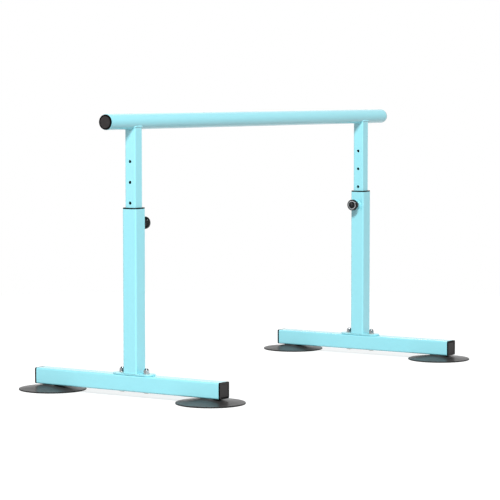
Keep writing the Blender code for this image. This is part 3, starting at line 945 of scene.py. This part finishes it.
@dataclass
class Barre(SubAssembly):
    """The round tube along X, and the push-in cap in each of its ends."""

    wall: float = 0.0015
    cap_head: float = 0.0035
    cap_rounding: float = 0.0013
    border: float = 0.0035
    recess: float = 0.0006
    plug_gap: float = 0.0003
    plug_wall: float = 0.002
    tube_steps: int = 96

    def tube(self) -> BMesh:
        """The tube, along Z, with its middle at the origin.

        Returns:
            The tube.
        """
        radius, half = self.site.height("barre_tube") / 2, self.site.width("barre_tube") / 2
        bore, rim = radius - self.wall, LIGHT
        section = [(radius, half, rim), (radius, -half, rim), (bore, -half, rim), (bore, half, rim)]
        tube = lathe(section, self.tube_steps, ring=True)

        def inside(face: BMFace) -> bool:
            """Whether a face is in the tube's bore."""
            return face.calc_center_median().xy.length < bore + rim / 2

        return dress_faces(tube, inside)

    def cap(self, side: Side) -> BMesh:
        """An end cap, outwards along Z: a raised border round a flat field, over a hollow plug.

        Args:
            side: Which end it closes.

        Returns:
            The cap, its outer face at the origin.
        """
        low, high = self.site.box(f"{side.value}_barre_end_cap")
        radius = (high.z - low.z) / 2
        field_edge = radius - self.border
        plug = self.site.height("barre_tube") / 2 - self.wall - self.plug_gap
        plug_end = low.x - high.x
        section = [
            (0, -self.recess, 0),
            (field_edge, -self.recess, CRISP),
            (field_edge, 0, self.recess / 2),
            (radius, 0, self.cap_rounding),
            (radius, -self.cap_head, FINE),
            (plug, -self.cap_head, 0),
            (plug, plug_end, SOFT),
            (plug - self.plug_wall, plug_end, FINE),
            (plug - self.plug_wall, -self.cap_head, 0),
            (0, -self.cap_head, 0),
        ]
        inside = field_edge - self.recess / 2

        def in_field(face: BMFace) -> bool:
            """Whether a face is in the cap's flat field."""
            middle = face.calc_center_median()
            return middle.z > -self.cap_head / 2 and middle.xy.length < inside

        return dress_faces(lathe(section, self.tube_steps), in_field)

    def build(self) -> None:
        """Builds the tube and its caps."""
        middle = self.site.middle("barre_tube")
        tube = moved(self.tube(), Matrix.Translation(middle) @ ALONG_X)
        self.hand_over(tube, "barre_tube", Body.UPPER_FRAME, PAINT, TUBE_INSIDE_AND_HOLE_SHADE)
        for side, way in ((Side.LEFT, -1), (Side.RIGHT, 1)):
            node = f"{side.value}_barre_end_cap"
            low, high = self.site.box(node)
            face = Vector((high.x if way > 0 else low.x, middle.y, middle.z))
            place = Matrix.Translation(face) @ Matrix.Rotation(way * pi / 2, 4, "Y")
            cap = moved(self.cap(side), place)
            self.hand_over(cap, node, Body.UPPER_FRAME, CAP_BORDER, CAP_FIELD)


@dataclass
class UpperPost(SubAssembly):
    """The sliding post, coped and welded to the barre, with its row of holes and its end guide."""

    wall: float = 0.0015
    corner: float = 0.003
    pitch: float = 0.050
    holes_each_way: int = 3
    hole_radius: float = 0.0038
    gap: float = 0.0003
    guide_corner: float = 0.0022
    guide_flange: float = 0.006
    guide_rounding: float = 0.0005
    weld: Weld = Weld(0.0021)

    def post(self) -> BMesh:
        """The post, its holes drilled and its top coped to the barre.

        Returns:
            The post.
        """
        low, high = self.site.box("upper_post")
        width = high.x - low.x
        blank = bar(width, width, self.corner, high.z - low.z, self.wall)
        post = lifted(softened(blank, FINE), low.z)
        barre = Vector((0, 0, WORLD.middle("barre_tube").z))
        cope = WORLD.height("barre_tube") / 2 + self.gap
        tools = [pin_through(cope, 2 * width, "X", barre)]
        pin = self.site.middle("plunger_pin").z
        for number in range(-self.holes_each_way, self.holes_each_way + 1):
            centre = Vector((0, 0, pin + number * self.pitch))
            tools.append(drill(self.hole_radius, FINE, width / 2, "X", centre))
        return dress_bore(worked(post, tools), width, self.corner, self.wall, "Z")

    def bead(self) -> BMesh:
        """The weld between the post and the barre, round the coped edge.

        Returns:
            The bead.
        """
        width = self.site.width("upper_post")
        path, outs = round_post(width, self.corner, self.weld.count(4 * width))
        axis, radius = WORLD.middle("barre_tube").z, WORLD.height("barre_tube") / 2
        for point in path:
            point.z = axis - sqrt(radius**2 - point.y**2)
        return self.weld.bead(path, outs)

    def end_guide(self) -> BMesh:
        """The plug in the post's lower end, with the flange that runs in the lower post.

        Returns:
            The guide.
        """
        low, high = self.site.box("post_end_guide")
        width, half_flange = high.x - low.x, self.guide_flange / 2
        plug = self.site.width("upper_post") - 2 * self.wall - 2 * self.gap
        flange = bar(width, width, self.guide_corner, self.guide_flange)
        stem = bar(plug, plug, self.corner - self.wall - self.gap, high.z - low.z - half_flange)
        tools = [lifted(stem, low.z + half_flange)]
        return softened(worked(lifted(flange, low.z), tools, Cut.JOIN), self.guide_rounding)

    def build(self) -> None:
        """Builds the post, its weld and its guide."""
        self.hand_over(self.post(), "upper_post", Body.UPPER_FRAME, PAINT, TUBE_INSIDE_AND_HOLE_SHADE)
        self.hand_over(self.bead(), "barre_weld", Body.UPPER_FRAME, PAINT, node=False)
        self.hand_over(self.end_guide(), "post_end_guide", Body.UPPER_FRAME, CAP_BORDER)


@dataclass
class LowerPost(SubAssembly):
    """The fixed post, its guide collar and the weld that holds it on the base plate."""

    wall: float = 0.0015
    corner: float = 0.004
    pin_hole: float = 0.0038
    collar_flange: float = 0.003
    sleeve_below: float = 0.001
    gap: float = 0.0003
    weld: Weld = Weld(0.0013)
    weld_above: float = 0.0002

    def post(self) -> BMesh:
        """The post, with the hole for the locking pin in its inner face.

        Returns:
            The post.
        """
        low, high = self.site.box("lower_post")
        width = high.x - low.x
        blank = bar(width, width, self.corner, high.z - low.z, self.wall)
        post = lifted(softened(blank, LIGHT), low.z)
        centre = Vector((width / 4, 0, self.site.middle("plunger_pin").z))
        tool = drill(self.pin_hole, LIGHT, width / 4, "X", centre)
        return dress_bore(worked(post, [tool]), width, self.corner, self.wall, "Z")

    def collar(self) -> BMesh:
        """The collar: a flange on the post's mouth, and a sleeve in it round the upper post.

        Returns:
            The collar.
        """
        low, high = self.site.box("guide_collar")
        width, height = high.x - low.x, high.z - low.z
        inner = width - 2 * self.wall - 2 * self.gap
        opening = self.site.width("upper_post") + 2 * self.gap
        flange = bar(width, width, self.corner, self.collar_flange)
        sleeve = bar(inner, inner, self.corner - self.wall - self.gap, height - self.sleeve_below)
        through = bar(opening, opening, UpperPost.corner + self.gap, 2 * height)
        flange = lifted(flange, high.z - self.collar_flange)
        collar = worked(flange, [lifted(sleeve, low.z)], Cut.JOIN)
        return softened(worked(collar, [lifted(through, low.z - height / 2)]), SOFT)

    def bead(self) -> BMesh:
        """The fillet weld between the post and its base plate.

        Returns:
            The bead.
        """
        width = self.site.width("lower_post")
        path, outs = round_post(width, self.corner, self.weld.count(4 * width))
        plate_top = self.site.box("base_plate")[1].z
        for point in path:
            point.z = plate_top + self.weld_above
        return self.weld.bead(path, outs)

    def build(self) -> None:
        """Builds the post, its collar and its weld."""
        self.hand_over(self.post(), "lower_post", Body.BASE, PAINT, TUBE_INSIDE_AND_HOLE_SHADE)
        self.hand_over(self.collar(), "guide_collar", Body.BASE, CAP_BORDER)
        self.hand_over(self.bead(), "post_base_weld", Body.BASE, PAINT, node=False)


@dataclass
class BaseJoint(SubAssembly):
    """The plate under the post, bolted through the foot tube, with washers and dome nuts."""

    plate_corner: float = 0.018
    hole_radius: float = 0.0045
    bolt_radius: float = 0.004
    thread_gap: float = 0.0003
    bolt_head: float = 0.004
    head_crown: float = 0.002
    across_flats: float = 0.013
    hex_height: float = 0.0065
    nut_chamfer: float = 0.0012
    cone_above: float = 0.0001
    cone_past: float = 0.001
    dome_radius: float = 0.0058
    dome_wall: float = 0.0025

    def plate(self) -> BMesh:
        """The plate, with a hole for each bolt.

        Returns:
            The plate.
        """
        low, high = self.site.box("base_plate")
        size = high - low
        plate = lifted(bar(size.x, size.y, self.plate_corner, size.z), low.z)
        drills = []
        for end in End:
            middle = self.site.middle(f"{end.value}_base_bolt")
            middle.z = low.z
            drills.append(pin_through(self.hole_radius, 4 * size.z, "Z", middle))
        return softened(worked(plate, drills), SOFT)

    def bolt(self, end: End) -> BMesh:
        """A round-headed bolt, its head under the foot tube.

        Args:
            end: Which bolt.

        Returns:
            The bolt, where it is.
        """
        node = f"{end.value}_base_bolt"
        low, high = self.site.box(node)
        head, shoulder = (high.x - low.x) / 2, low.z + self.bolt_head
        section = [
            (0, high.z, 0),
            (self.bolt_radius, high.z, SOFT),
            (self.bolt_radius, shoulder, 0),
            (head, shoulder, FINE),
            (head, low.z + self.bolt_head / 2, ROUND),
            (head / 2, low.z, self.head_crown),
            (0, low.z, 0),
        ]
        return self.stood(lathe(section, SMALL_STEPS), node)

    def washer(self, end: End) -> BMesh:
        """A flat washer.

        Args:
            end: Which washer.

        Returns:
            The washer, where it is.
        """
        node = f"{end.value}_base_washer"
        low, high = self.site.box(node)
        radius, bore = (high.x - low.x) / 2, self.bolt_radius + self.thread_gap
        section = [
            (radius, high.z, LIGHT),
            (radius, low.z, CRISP),
            (bore, low.z, 0),
            (bore, high.z, CRISP),
        ]
        return self.stood(lathe(section, SMALL_STEPS, ring=True), node)

    def nut(self, end: End) -> BMesh:
        """A dome nut: a hexagon with chamfered corners under a polished dome.

        Args:
            end: Which nut.

        Returns:
            The nut, where it is.
        """
        node = f"{end.value}_dome_nut"
        low, high = self.site.box(node)
        rise, height = self.hex_height, high.z - low.z
        corner = self.across_flats / 2 / cos(pi / 6)
        past, above = corner + self.cone_past, rise + self.cone_above
        cone = [
            (0, -self.cone_past, 0),
            (past, -self.cone_past, 0),
            (past, rise - self.nut_chamfer / 2, 0),
            (corner - self.nut_chamfer, above, 0),
            (0, above, 0),
        ]
        blank = hexagon(self.across_flats, rise)
        body = worked(blank, [lathe(cone, SMALL_STEPS)], Cut.KEEP_SHARED)
        arc = [
            (self.dome_radius * cos(angle), rise + (height - rise) * sin(angle), 0)
            for angle in (i * pi / (2 * ARC_STEPS) for i in range(ARC_STEPS))
        ]
        dome = lathe([(0, height, 0), *arc[::-1], (self.dome_radius, rise / 2, 0), (0, rise / 2, 0)])
        bore = self.bolt_radius + self.thread_gap
        tool = pin_through(bore, 2 * (height - self.dome_wall), "Z", Vector((0, 0, 0)))
        nut = softened(worked(worked(body, [dome], Cut.JOIN), [tool]), CRISP)
        return self.stood(nut, node, low.z)

    def build(self) -> None:
        """Builds the plate, the bolts, the washers and the nuts."""
        self.hand_over(self.plate(), "base_plate", Body.BASE, PAINT)
        for end in End:
            self.hand_over(self.bolt(end), f"{end.value}_base_bolt", Body.BASE, ZINC)
            self.hand_over(self.washer(end), f"{end.value}_base_washer", Body.BASE, ZINC)
            self.hand_over(self.nut(end), f"{end.value}_dome_nut", Body.BASE, CHROME)


@dataclass
class Foot(SubAssembly):
    """The long foot tube along Y, its end caps, and its suction cups with their studs and nuts."""

    wall: float = 0.0015
    corner: float = 0.004
    bolt_hole: float = 0.0045
    border: float = 0.005
    recess: float = 0.0008
    edge_share: float = 0.45
    cap_head: float = 0.004
    gap: float = 0.0003
    plug_wall: float = 0.002
    cup_rim: float = 0.0035
    rim_drop: float = 0.0004
    rim_foot: float = 0.0006
    rim_width: float = 0.0012
    cup_crown: float = 0.0115
    cup_curve: float = 1.15
    cup_hollow: float = 0.005
    hollow_rounding: float = 0.003
    hub_radius: float = 0.025
    seal_width: float = 0.004
    curve_steps: int = 12
    cup_steps: int = 128
    stud_radius: float = 0.004
    stud_tip: float = 0.0007
    stud_head: float = 0.0024
    nut_flats: float = 0.013
    nut_drill: float = 0.03

    def tube(self) -> BMesh:
        """The foot tube, with the holes for the base bolts and the cups' studs.

        Returns:
            The tube.
        """
        low, high = self.site.box("foot_tube")
        width, half = high.x - low.x, (high.z - low.z) / 2
        blank = bar(width, 2 * half, self.corner, high.y - low.y, self.wall)
        place = Matrix.Translation((0, high.y, low.z + half)) @ Matrix.Rotation(pi / 2, 4, "X")
        tools = []
        for end in End:
            for node, reach in (("base_bolt", half), ("cup_stud", half / 2)):
                middle = self.site.middle(f"{end.value}_{node}")
                middle.z = low.z + reach
                tools.append(drill(self.bolt_hole, LIGHT, reach, "Z", middle))
        tube = worked(moved(softened(blank, LIGHT), place), tools)
        return dress_bore(tube, width, self.corner, self.wall, "Y")

    def cap(self, end: End) -> BMesh:
        """A square end cap: a raised border round a flat field, over a hollow plug.

        Args:
            end: Which end it closes.

        Returns:
            The cap, where it is.
        """
        low, high = self.site.box(f"{end.value}_foot_end_cap")
        width, depth = high.x - low.x, high.y - low.y
        inner = width - 2 * self.border
        head = lifted(bar(width, width, self.corner, self.cap_head), -self.cap_head)
        recess = lifted(bar(inner, inner, self.corner / 2, 2 * self.recess), -self.recess)
        head = softened(worked(head, [recess]), self.recess * self.edge_share)
        outer, corner = width - 2 * self.wall - 2 * self.gap, self.corner - self.wall - self.gap
        plug = bar(outer, outer, corner, depth - self.cap_head / 2, self.plug_wall)
        cap = worked(head, [lifted(plug, -depth)], Cut.JOIN)

        def in_field(face: BMFace) -> bool:
            """Whether a face is in the cap's flat field."""
            middle = face.calc_center_median()
            return middle.z > -self.cap_head / 2 and max(abs(middle.x), abs(middle.y)) < inner / 2

        way = self.site.way(end)
        place = Matrix.Translation((0, high.y if way > 0 else low.y, (low.z + high.z) / 2))
        return moved(dress_faces(cap, in_field), place @ Matrix.Rotation(-way * pi / 2, 4, "X"))

    def cup(self, end: End) -> BMesh:
        """A suction cup: a thin disc that rises in a slow curve to the hub under the foot.

        Args:
            end: Which end it is under.

        Returns:
            The cup, where it is.
        """
        node = f"{end.value}_suction_cup"
        low, high = self.site.box(node)
        stud_low, stud_high = self.site.box(f"{end.value}_cup_stud")
        radius, seal = (high.x - low.x) / 2, (high.x - low.x) / 2 - self.rim_width
        head_low, head_top = stud_low.z - self.gap, stud_low.z + self.stud_head + self.gap
        cavity, bore = (stud_high.x - stud_low.x) / 2 + self.gap, self.stud_radius + self.gap
        reach, rise = seal - self.hub_radius, self.cup_crown - self.cup_rim
        top = []
        for i in range(self.curve_steps + 1):
            share = i / self.curve_steps
            height = self.cup_rim + rise * (1 - share) ** self.cup_curve
            top.append((self.hub_radius + share * reach, height, 0 if i else MOULDED))
        section = [
            (0, head_low, 0),
            (cavity, head_low, 0),
            (cavity, head_top, 0),
            (bore, head_top, 0),
            (bore, high.z, FINE),
            (self.hub_radius, high.z, MOULDED),
            *top,
            (radius, self.cup_rim - self.rim_drop, FINE),
            (radius, self.rim_foot, FINE),
            (seal, 0, 0),
            (seal - self.seal_width, 0, LIGHT),
            (self.hub_radius, self.cup_hollow, self.hollow_rounding),
            (0, self.cup_hollow, 0),
        ]

        def on_shaded_rim(face: BMFace) -> bool:
            """Whether a face is on the thin rim, which is painted darker as shade."""
            return face.calc_center_median().xy.length > radius - self.rim_width / 2

        return self.stood(dress_faces(lathe(section, self.cup_steps), on_shaded_rim), node)

    def stud(self, end: End) -> BMesh:
        """The threaded stud whose flat head is moulded into the cup's hub.

        Args:
            end: Which end it is at.

        Returns:
            The stud, where it is.
        """
        node = f"{end.value}_cup_stud"
        low, high = self.site.box(node)
        head, shoulder = (high.x - low.x) / 2, low.z + self.stud_head
        section = [
            (0, high.z, 0),
            (self.stud_radius, high.z, self.stud_tip),
            (self.stud_radius, shoulder, 0),
            (head, shoulder, FINE),
            (head, low.z, FINE),
            (0, low.z, 0),
        ]
        return self.stood(lathe(section, SMALL_STEPS), node)

    def nut(self, end: End) -> BMesh:
        """The plain nut on the stud, inside the foot tube.

        Args:
            end: Which end it is at.

        Returns:
            The nut, where it is.
        """
        node = f"{end.value}_cup_nut"
        low, high = self.site.box(node)
        bore = pin_through(self.stud_radius + self.gap, self.nut_drill, "Z", Vector((0, 0, 0)))
        nut = softened(worked(hexagon(self.nut_flats, high.z - low.z), [bore]), LIGHT)
        return self.stood(nut, node, low.z)

    def build(self) -> None:
        """Builds the tube and, at each end, its cap, cup, stud and nut."""
        self.hand_over(self.tube(), "foot_tube", Body.BASE, PAINT, TUBE_INSIDE_AND_HOLE_SHADE)
        for end in End:
            at = end.value
            self.hand_over(self.cap(end), f"{at}_foot_end_cap", Body.BASE, CAP_BORDER, CAP_FIELD)
            self.hand_over(self.cup(end), f"{at}_suction_cup", Body.BASE, RUBBER, RUBBER_RIM_SHADE)
            self.hand_over(self.stud(end), f"{at}_cup_stud", Body.BASE, ZINC)
            self.hand_over(self.nut(end), f"{at}_cup_nut", Body.BASE, ZINC)


@dataclass
class Plunger(SubAssembly):
    """The sprung locking pin on the lower post's inner face, with its boss, barrel and knob."""

    gap: float = 0.0003
    boss_rounding: float = 0.0014
    barrel_wall: float = 0.0017
    barrel_end: float = 0.0026
    pin_radius: float = 0.0035
    pin_tip: float = 0.001
    pin_groove: float = 0.0003
    groove_length: float = 0.0008
    shoulder: float = 0.004
    stem_radius: float = 0.003
    stem_rounding: float = 0.0005
    wire: float = 0.00055
    wire_sides: int = 8
    coil: float = 0.0042
    curls: int = 5
    curl_points: int = 24
    knob_rim: float = 0.0082
    knob_rounding: float = 0.003
    knob_slope: float = 0.002
    knob_steps: int = 72
    neck_wall: float = 0.003
    neck_clear: float = 0.0015
    dome: float = 0.0098
    dome_rise: float = 0.0008
    groove: float = 0.0022
    groove_depth: float = 0.001
    pull: float = 0.008
    weld: Weld = Weld(0.0011, ripple=0.0022)

    def laid(self, bm: BMesh) -> BMesh:
        """Lays a shape's axis, local Z, along the stand's X at the pin's height."""
        height = self.site.middle("plunger_pin").z
        return moved(bm, Matrix.Translation((0, 0, height)) @ ALONG_X)

    def boss(self) -> BMesh:
        """The boss that is welded to the post.

        Returns:
            The boss, where it is.
        """
        low, high = self.site.box("plunger_boss")
        radius, bore = (high.z - low.z) / 2, self.site.height("plunger_barrel") / 2 + self.gap
        section = [
            (bore, high.x, FINE),
            (radius, high.x, self.boss_rounding),
            (radius, low.x, 0),
            (bore, low.x, 0),
        ]
        return self.laid(lathe(section, ring=True))

    def bead(self) -> BMesh:
        """The weld round the boss.

        Returns:
            The bead, where it is.
        """
        low, high = self.site.box("plunger_boss")
        radius = (high.z - low.z) / 2
        count = self.weld.count(tau * radius)
        outs = [Vector((cos(i * tau / count), sin(i * tau / count), 0)) for i in range(count)]
        path = [radius * out + Vector((0, 0, low.x)) for out in outs]
        return self.laid(self.weld.bead(path, outs))

    def barrel(self) -> BMesh:
        """The barrel that holds the spring, with the stem's hole in its end wall.

        Returns:
            The barrel, where it is.
        """
        low, high = self.site.box("plunger_barrel")
        radius, wall = (high.z - low.z) / 2, high.x - self.barrel_end
        cavity, stem = radius - self.barrel_wall, self.stem_radius + self.gap
        section = [
            (stem, high.x, CRISP),
            (radius, high.x, ROUND),
            (radius, low.x, LIGHT),
            (cavity, low.x, CRISP),
            (cavity, wall, 0),
            (stem, wall, 0),
        ]
        return self.laid(lathe(section, ring=True))

    def pin(self) -> BMesh:
        """The pin: a rounded tip, a shoulder for the spring and a long stem.

        Returns:
            The pin, where it is.
        """
        low, high = self.site.box("plunger_pin")
        face = self.site.box("plunger_barrel")[0].x
        head, back = (high.z - low.z) / 2, face + self.shoulder
        neck, groove = self.pin_radius - self.pin_groove, face - self.groove_length
        section = [
            (0, high.x, 0),
            (self.stem_radius, high.x, self.stem_rounding),
            (self.stem_radius, back, 0),
            (head, back, FINE),
            (head, face, FINE),
            (neck, face, 0),
            (neck, groove, 0),
            (self.pin_radius, groove - self.pin_groove, 0),
            (self.pin_radius, low.x, self.pin_tip),
            (0, low.x, 0),
        ]
        return self.laid(lathe(section, SMALL_STEPS))

    def spring(self) -> BMesh:
        """The compression spring between the pin's shoulder and the barrel's end wall.

        Returns:
            The spring, where it is.
        """
        low, high = self.site.box("plunger_spring")
        start, stop = low.x + self.wire, high.x - self.wire
        count = self.curls * self.curl_points
        path, outs = [], []
        for i in range(count + 1):
            turn = i * tau / self.curl_points
            out = Vector((cos(turn), sin(turn), 0))
            path.append(self.coil * out + Vector((0, 0, start + (stop - start) * i / count)))
            outs.append(out)
        return self.laid(swept(path, outs, [self.wire] * len(path), self.wire_sides, False))

    def knob(self) -> BMesh:
        """The pull knob: a mushroom with a hollow neck, and a groove round its domed middle, whose
        floor carries a painted highlight ring.

        Returns:
            The knob, where it is.
        """
        low, high = self.site.box("plunger_knob")
        radius = (high.z - low.z) / 2
        hollow = self.site.height("plunger_barrel") / 2 + self.neck_clear
        neck, floor = hollow + self.neck_wall, self.site.box("plunger_barrel")[1].x + self.gap
        brow = high.x - self.dome_rise
        groove_floor, back = brow - self.groove_depth, brow - self.knob_rim
        dome = [
            (self.dome * sin(angle), brow + self.dome_rise * cos(angle), 0)
            for angle in (i * pi / (2 * ARC_STEPS) for i in range(1, ARC_STEPS))
        ]
        bore, stem = self.stem_radius + self.gap, self.site.box("plunger_pin")[1].x + self.gap
        section = [
            (0, high.x, 0),
            *dome,
            (self.dome, brow, 0),
            (self.dome, groove_floor, FINE),
            (self.dome + self.groove, groove_floor, FINE),
            (self.dome + self.groove, brow, LIGHT),
            (radius, brow, self.knob_rounding),
            (radius, back, MOULDED),
            (neck, back - self.knob_slope, MOULDED),
            (neck, low.x, SOFT),
            (hollow, low.x, FINE),
            (hollow, floor, 0),
            (bore, floor, 0),
            (bore, stem, 0),
            (0, stem, 0),
        ]

        def in_highlight_ring(face: BMFace) -> bool:
            """Whether a face is on the floor of the groove, where the painted highlight ring lies.
            """
            middle = face.calc_center_median()
            across = middle.xy.length - self.dome
            return 0 < across < self.groove and abs(middle.z - groove_floor) < self.dome_rise / 2

        return self.laid(dress_faces(lathe(section, self.knob_steps), in_highlight_ring))

    def build(self) -> None:
        """Builds the plunger, and gives its spring a mesh of its own."""
        pin_body = self.site.pin_body()
        self.hand_over(self.boss(), "plunger_boss", Body.BASE, PAINT)
        self.hand_over(self.bead(), "boss_weld", Body.BASE, PAINT, node=False)
        self.hand_over(self.barrel(), "plunger_barrel", Body.BASE, ZINC)
        self.hand_over(self.pin(), "plunger_pin", pin_body, ZINC)
        self.hand_over(self.knob(), "plunger_knob", pin_body, KNOB_PLASTIC, RING_HIGHLIGHT_NICKEL)
        spring = self.hand_over(self.spring(), "plunger_spring", Body.BASE, ZINC)
        low, high = self.site.box("plunger_spring")
        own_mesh(spring)


@dataclass(frozen=True)
class Lamp:
    """A rectangular soft lamp: where it hangs, its width and height, and its power in watts."""

    name: str
    place: tuple[float, float, float]
    size: tuple[float, float]
    power: float

    def hang(self, aim: tuple[float, float, float]) -> None:
        """Hangs the lamp.

        Args:
            aim: Where it shines.
        """
        data = bpy.data.lights.new(self.name, "AREA")
        data.shape = "RECTANGLE"
        data.size, data.size_y = self.size
        data.energy = self.power
        lamp = bpy.data.objects.new(self.name, data)
        lamp.location = self.place
        way = Vector(aim) - Vector(self.place)
        lamp.rotation_euler = way.to_track_quat("-Z", "Y").to_euler()
        lamp.visible_camera = False
        bpy.context.scene.collection.objects.link(lamp)


@dataclass
class Studio:
    """The camera, the soft lamps, the white surroundings and the pale floor."""

    camera_place: tuple[float, float, float] = (-5.0325, -3.2714, 0.7528)
    camera_turn: tuple[float, float, float] = (85.921, 0.0, -56.83)
    lens: float = 165.8
    sensor: float = 36.0
    sees_to: float = 200.0
    aim: tuple[float, float, float] = (0.0, 0.0, 0.35)
    lamps: tuple[Lamp, ...] = (
        Lamp("key_lamp", (-5.5, -3.5, 5.05), (1.5, 1.5), 708.0),
        Lamp("fill_lamp", (-0.8, -6.0, 0.8), (2.4, 1.4), 38.0),
        Lamp("back_lamp", (3.4, 2.7, 6.2), (2.2, 2.2), 190.0),
        Lamp("strip_lamp", (-4.2, 2.8, 1.25), (0.45, 2.4), 11.0),
    )
    surroundings: float = 0.2
    ceiling_starts: float = 0.35
    ceiling_full: float = 0.8
    floor_radius: float = 2.4
    floor_steps: int = 96
    floor_colours: tuple[str, str] = ("a4a4a4", "a7a7a7")
    floor_grain: Pattern = Pattern(0.025, 2.0)
    floor_glow: float = 0.72

    def camera(self) -> None:
        """Sets the camera where the photograph was taken from."""
        data = bpy.data.cameras.new("camera")
        data.lens = self.lens
        data.sensor_width = self.sensor
        data.clip_end = self.sees_to
        camera = bpy.data.objects.new("camera", data)
        camera.location = self.camera_place
        camera.rotation_euler = [radians(turn) for turn in self.camera_turn]
        bpy.context.scene.collection.objects.link(camera)
        bpy.context.scene.camera = camera

    def seen(self, tree: bpy.types.NodeTree) -> bpy.types.NodeSocket:
        """Tells rays that see the background, straight or in gloss or glass, from light on things.

        Args:
            tree: The node tree to add it to.

        Returns:
            An output that is 1 for such a ray and 0 otherwise.
        """
        ray = add_node(tree, "ShaderNodeLightPath", {}, {}).outputs
        seen = ray["Is Camera Ray"]
        for kind in ("Is Glossy Ray", "Is Transmission Ray"):
            either = {0: seen, 1: ray[kind]}
            seen = add_node(tree, "ShaderNodeMath", {"operation": "MAXIMUM"}, either).outputs[0]
        return seen

    def world(self) -> None:
        """Makes the surroundings white to look at, and softer as light.

        In gloss they are white too, up to where a room's plain ceiling would start.
        """
        world = bpy.data.worlds.new("white_studio")
        world.use_nodes = True
        tree = world.node_tree
        direction = add_node(tree, "ShaderNodeTexCoord", {}, {}).outputs["Generated"]
        height = add_node(tree, "ShaderNodeSeparateXYZ", {}, {"Vector": direction}).outputs["Z"]
        wall = add_node(
            tree,
            "ShaderNodeMapRange",
            {"interpolation_type": "SMOOTHSTEP"},
            {
                "Value": height,
                "From Min": self.ceiling_starts,
                "From Max": self.ceiling_full,
                "To Min": 1.0,
                "To Max": self.surroundings,
            },
        )
        ray = add_node(tree, "ShaderNodeLightPath", {}, {})
        white = add_node(
            tree,
            "ShaderNodeMath",
            {"operation": "MAXIMUM"},
            {0: ray.outputs["Is Camera Ray"], 1: wall.outputs["Result"]},
        )
        strength = add_node(
            tree,
            "ShaderNodeMapRange",
            {},
            {"Value": self.seen(tree), "To Min": self.surroundings, "To Max": white.outputs[0]},
        )
        back = tree.nodes["Background"]
        feed(tree, back, {"Color": linear("ffffff"), "Strength": strength.outputs["Result"]})
        bpy.context.scene.world = world

    def floor(self) -> None:
        """Lays a matt floor that looks as white as the surroundings and keeps the shadow."""
        material = bpy.data.materials.new("matt_white_floor")
        material.use_nodes = True
        tree = material.node_tree
        tree.nodes.remove(tree.nodes["Principled BSDF"])
        grain = {"Scale": 1 / self.floor_grain.length, "Detail": self.floor_grain.detail}
        noise = add_node(tree, "ShaderNodeTexNoise", {}, grain).outputs["Fac"]
        one, other = (linear(colour) for colour in self.floor_colours)
        shade = add_node(tree, "ShaderNodeMix", {"data_type": "RGBA"}, {0: noise, 6: one, 7: other})
        matt = add_node(tree, "ShaderNodeBsdfDiffuse", {}, {"Color": shade.outputs[2]})
        share = {0: self.seen(tree), 1: self.floor_glow}
        strength = add_node(tree, "ShaderNodeMath", {"operation": "MULTIPLY"}, share).outputs[0]
        light = {"Color": linear("ffffff"), "Strength": strength}
        glow = add_node(tree, "ShaderNodeEmission", {}, light)
        shaders = {0: matt.outputs[0], 1: glow.outputs[0]}
        both = add_node(tree, "ShaderNodeAddShader", {}, shaders)
        feed(tree, tree.nodes["Material Output"], {"Surface": both.outputs[0]})
        bm = bmesh.new()
        radius, steps = self.floor_radius, self.floor_steps
        bmesh.ops.create_circle(bm, cap_ends=True, segments=steps, radius=radius)
        mesh = bpy.data.meshes.new("floor")
        bm.to_mesh(mesh)
        bm.free()
        mesh.materials.append(material)
        floor = bpy.data.objects.new("floor", mesh)
        bpy.context.scene.collection.objects.link(floor)

    def build(self) -> None:
        """Sets up the studio."""
        bpy.context.scene.view_settings.view_transform = "Standard"
        self.camera()
        for lamp in self.lamps:
            lamp.hang(self.aim)
        self.world()
        self.floor()


def main() -> None:
    """Builds the barre's sub-assemblies in order, and the studio round them."""
    logging.basicConfig(level=logging.INFO, format="%(message)s")
    Studio().build()
    Barre(Site()).build()
    for side in Side:
        stand = Stand.at(side)
        for kind in (Foot, BaseJoint, LowerPost, UpperPost, Plunger):
            kind(stand).build()


if __name__ == "__main__":
    main()
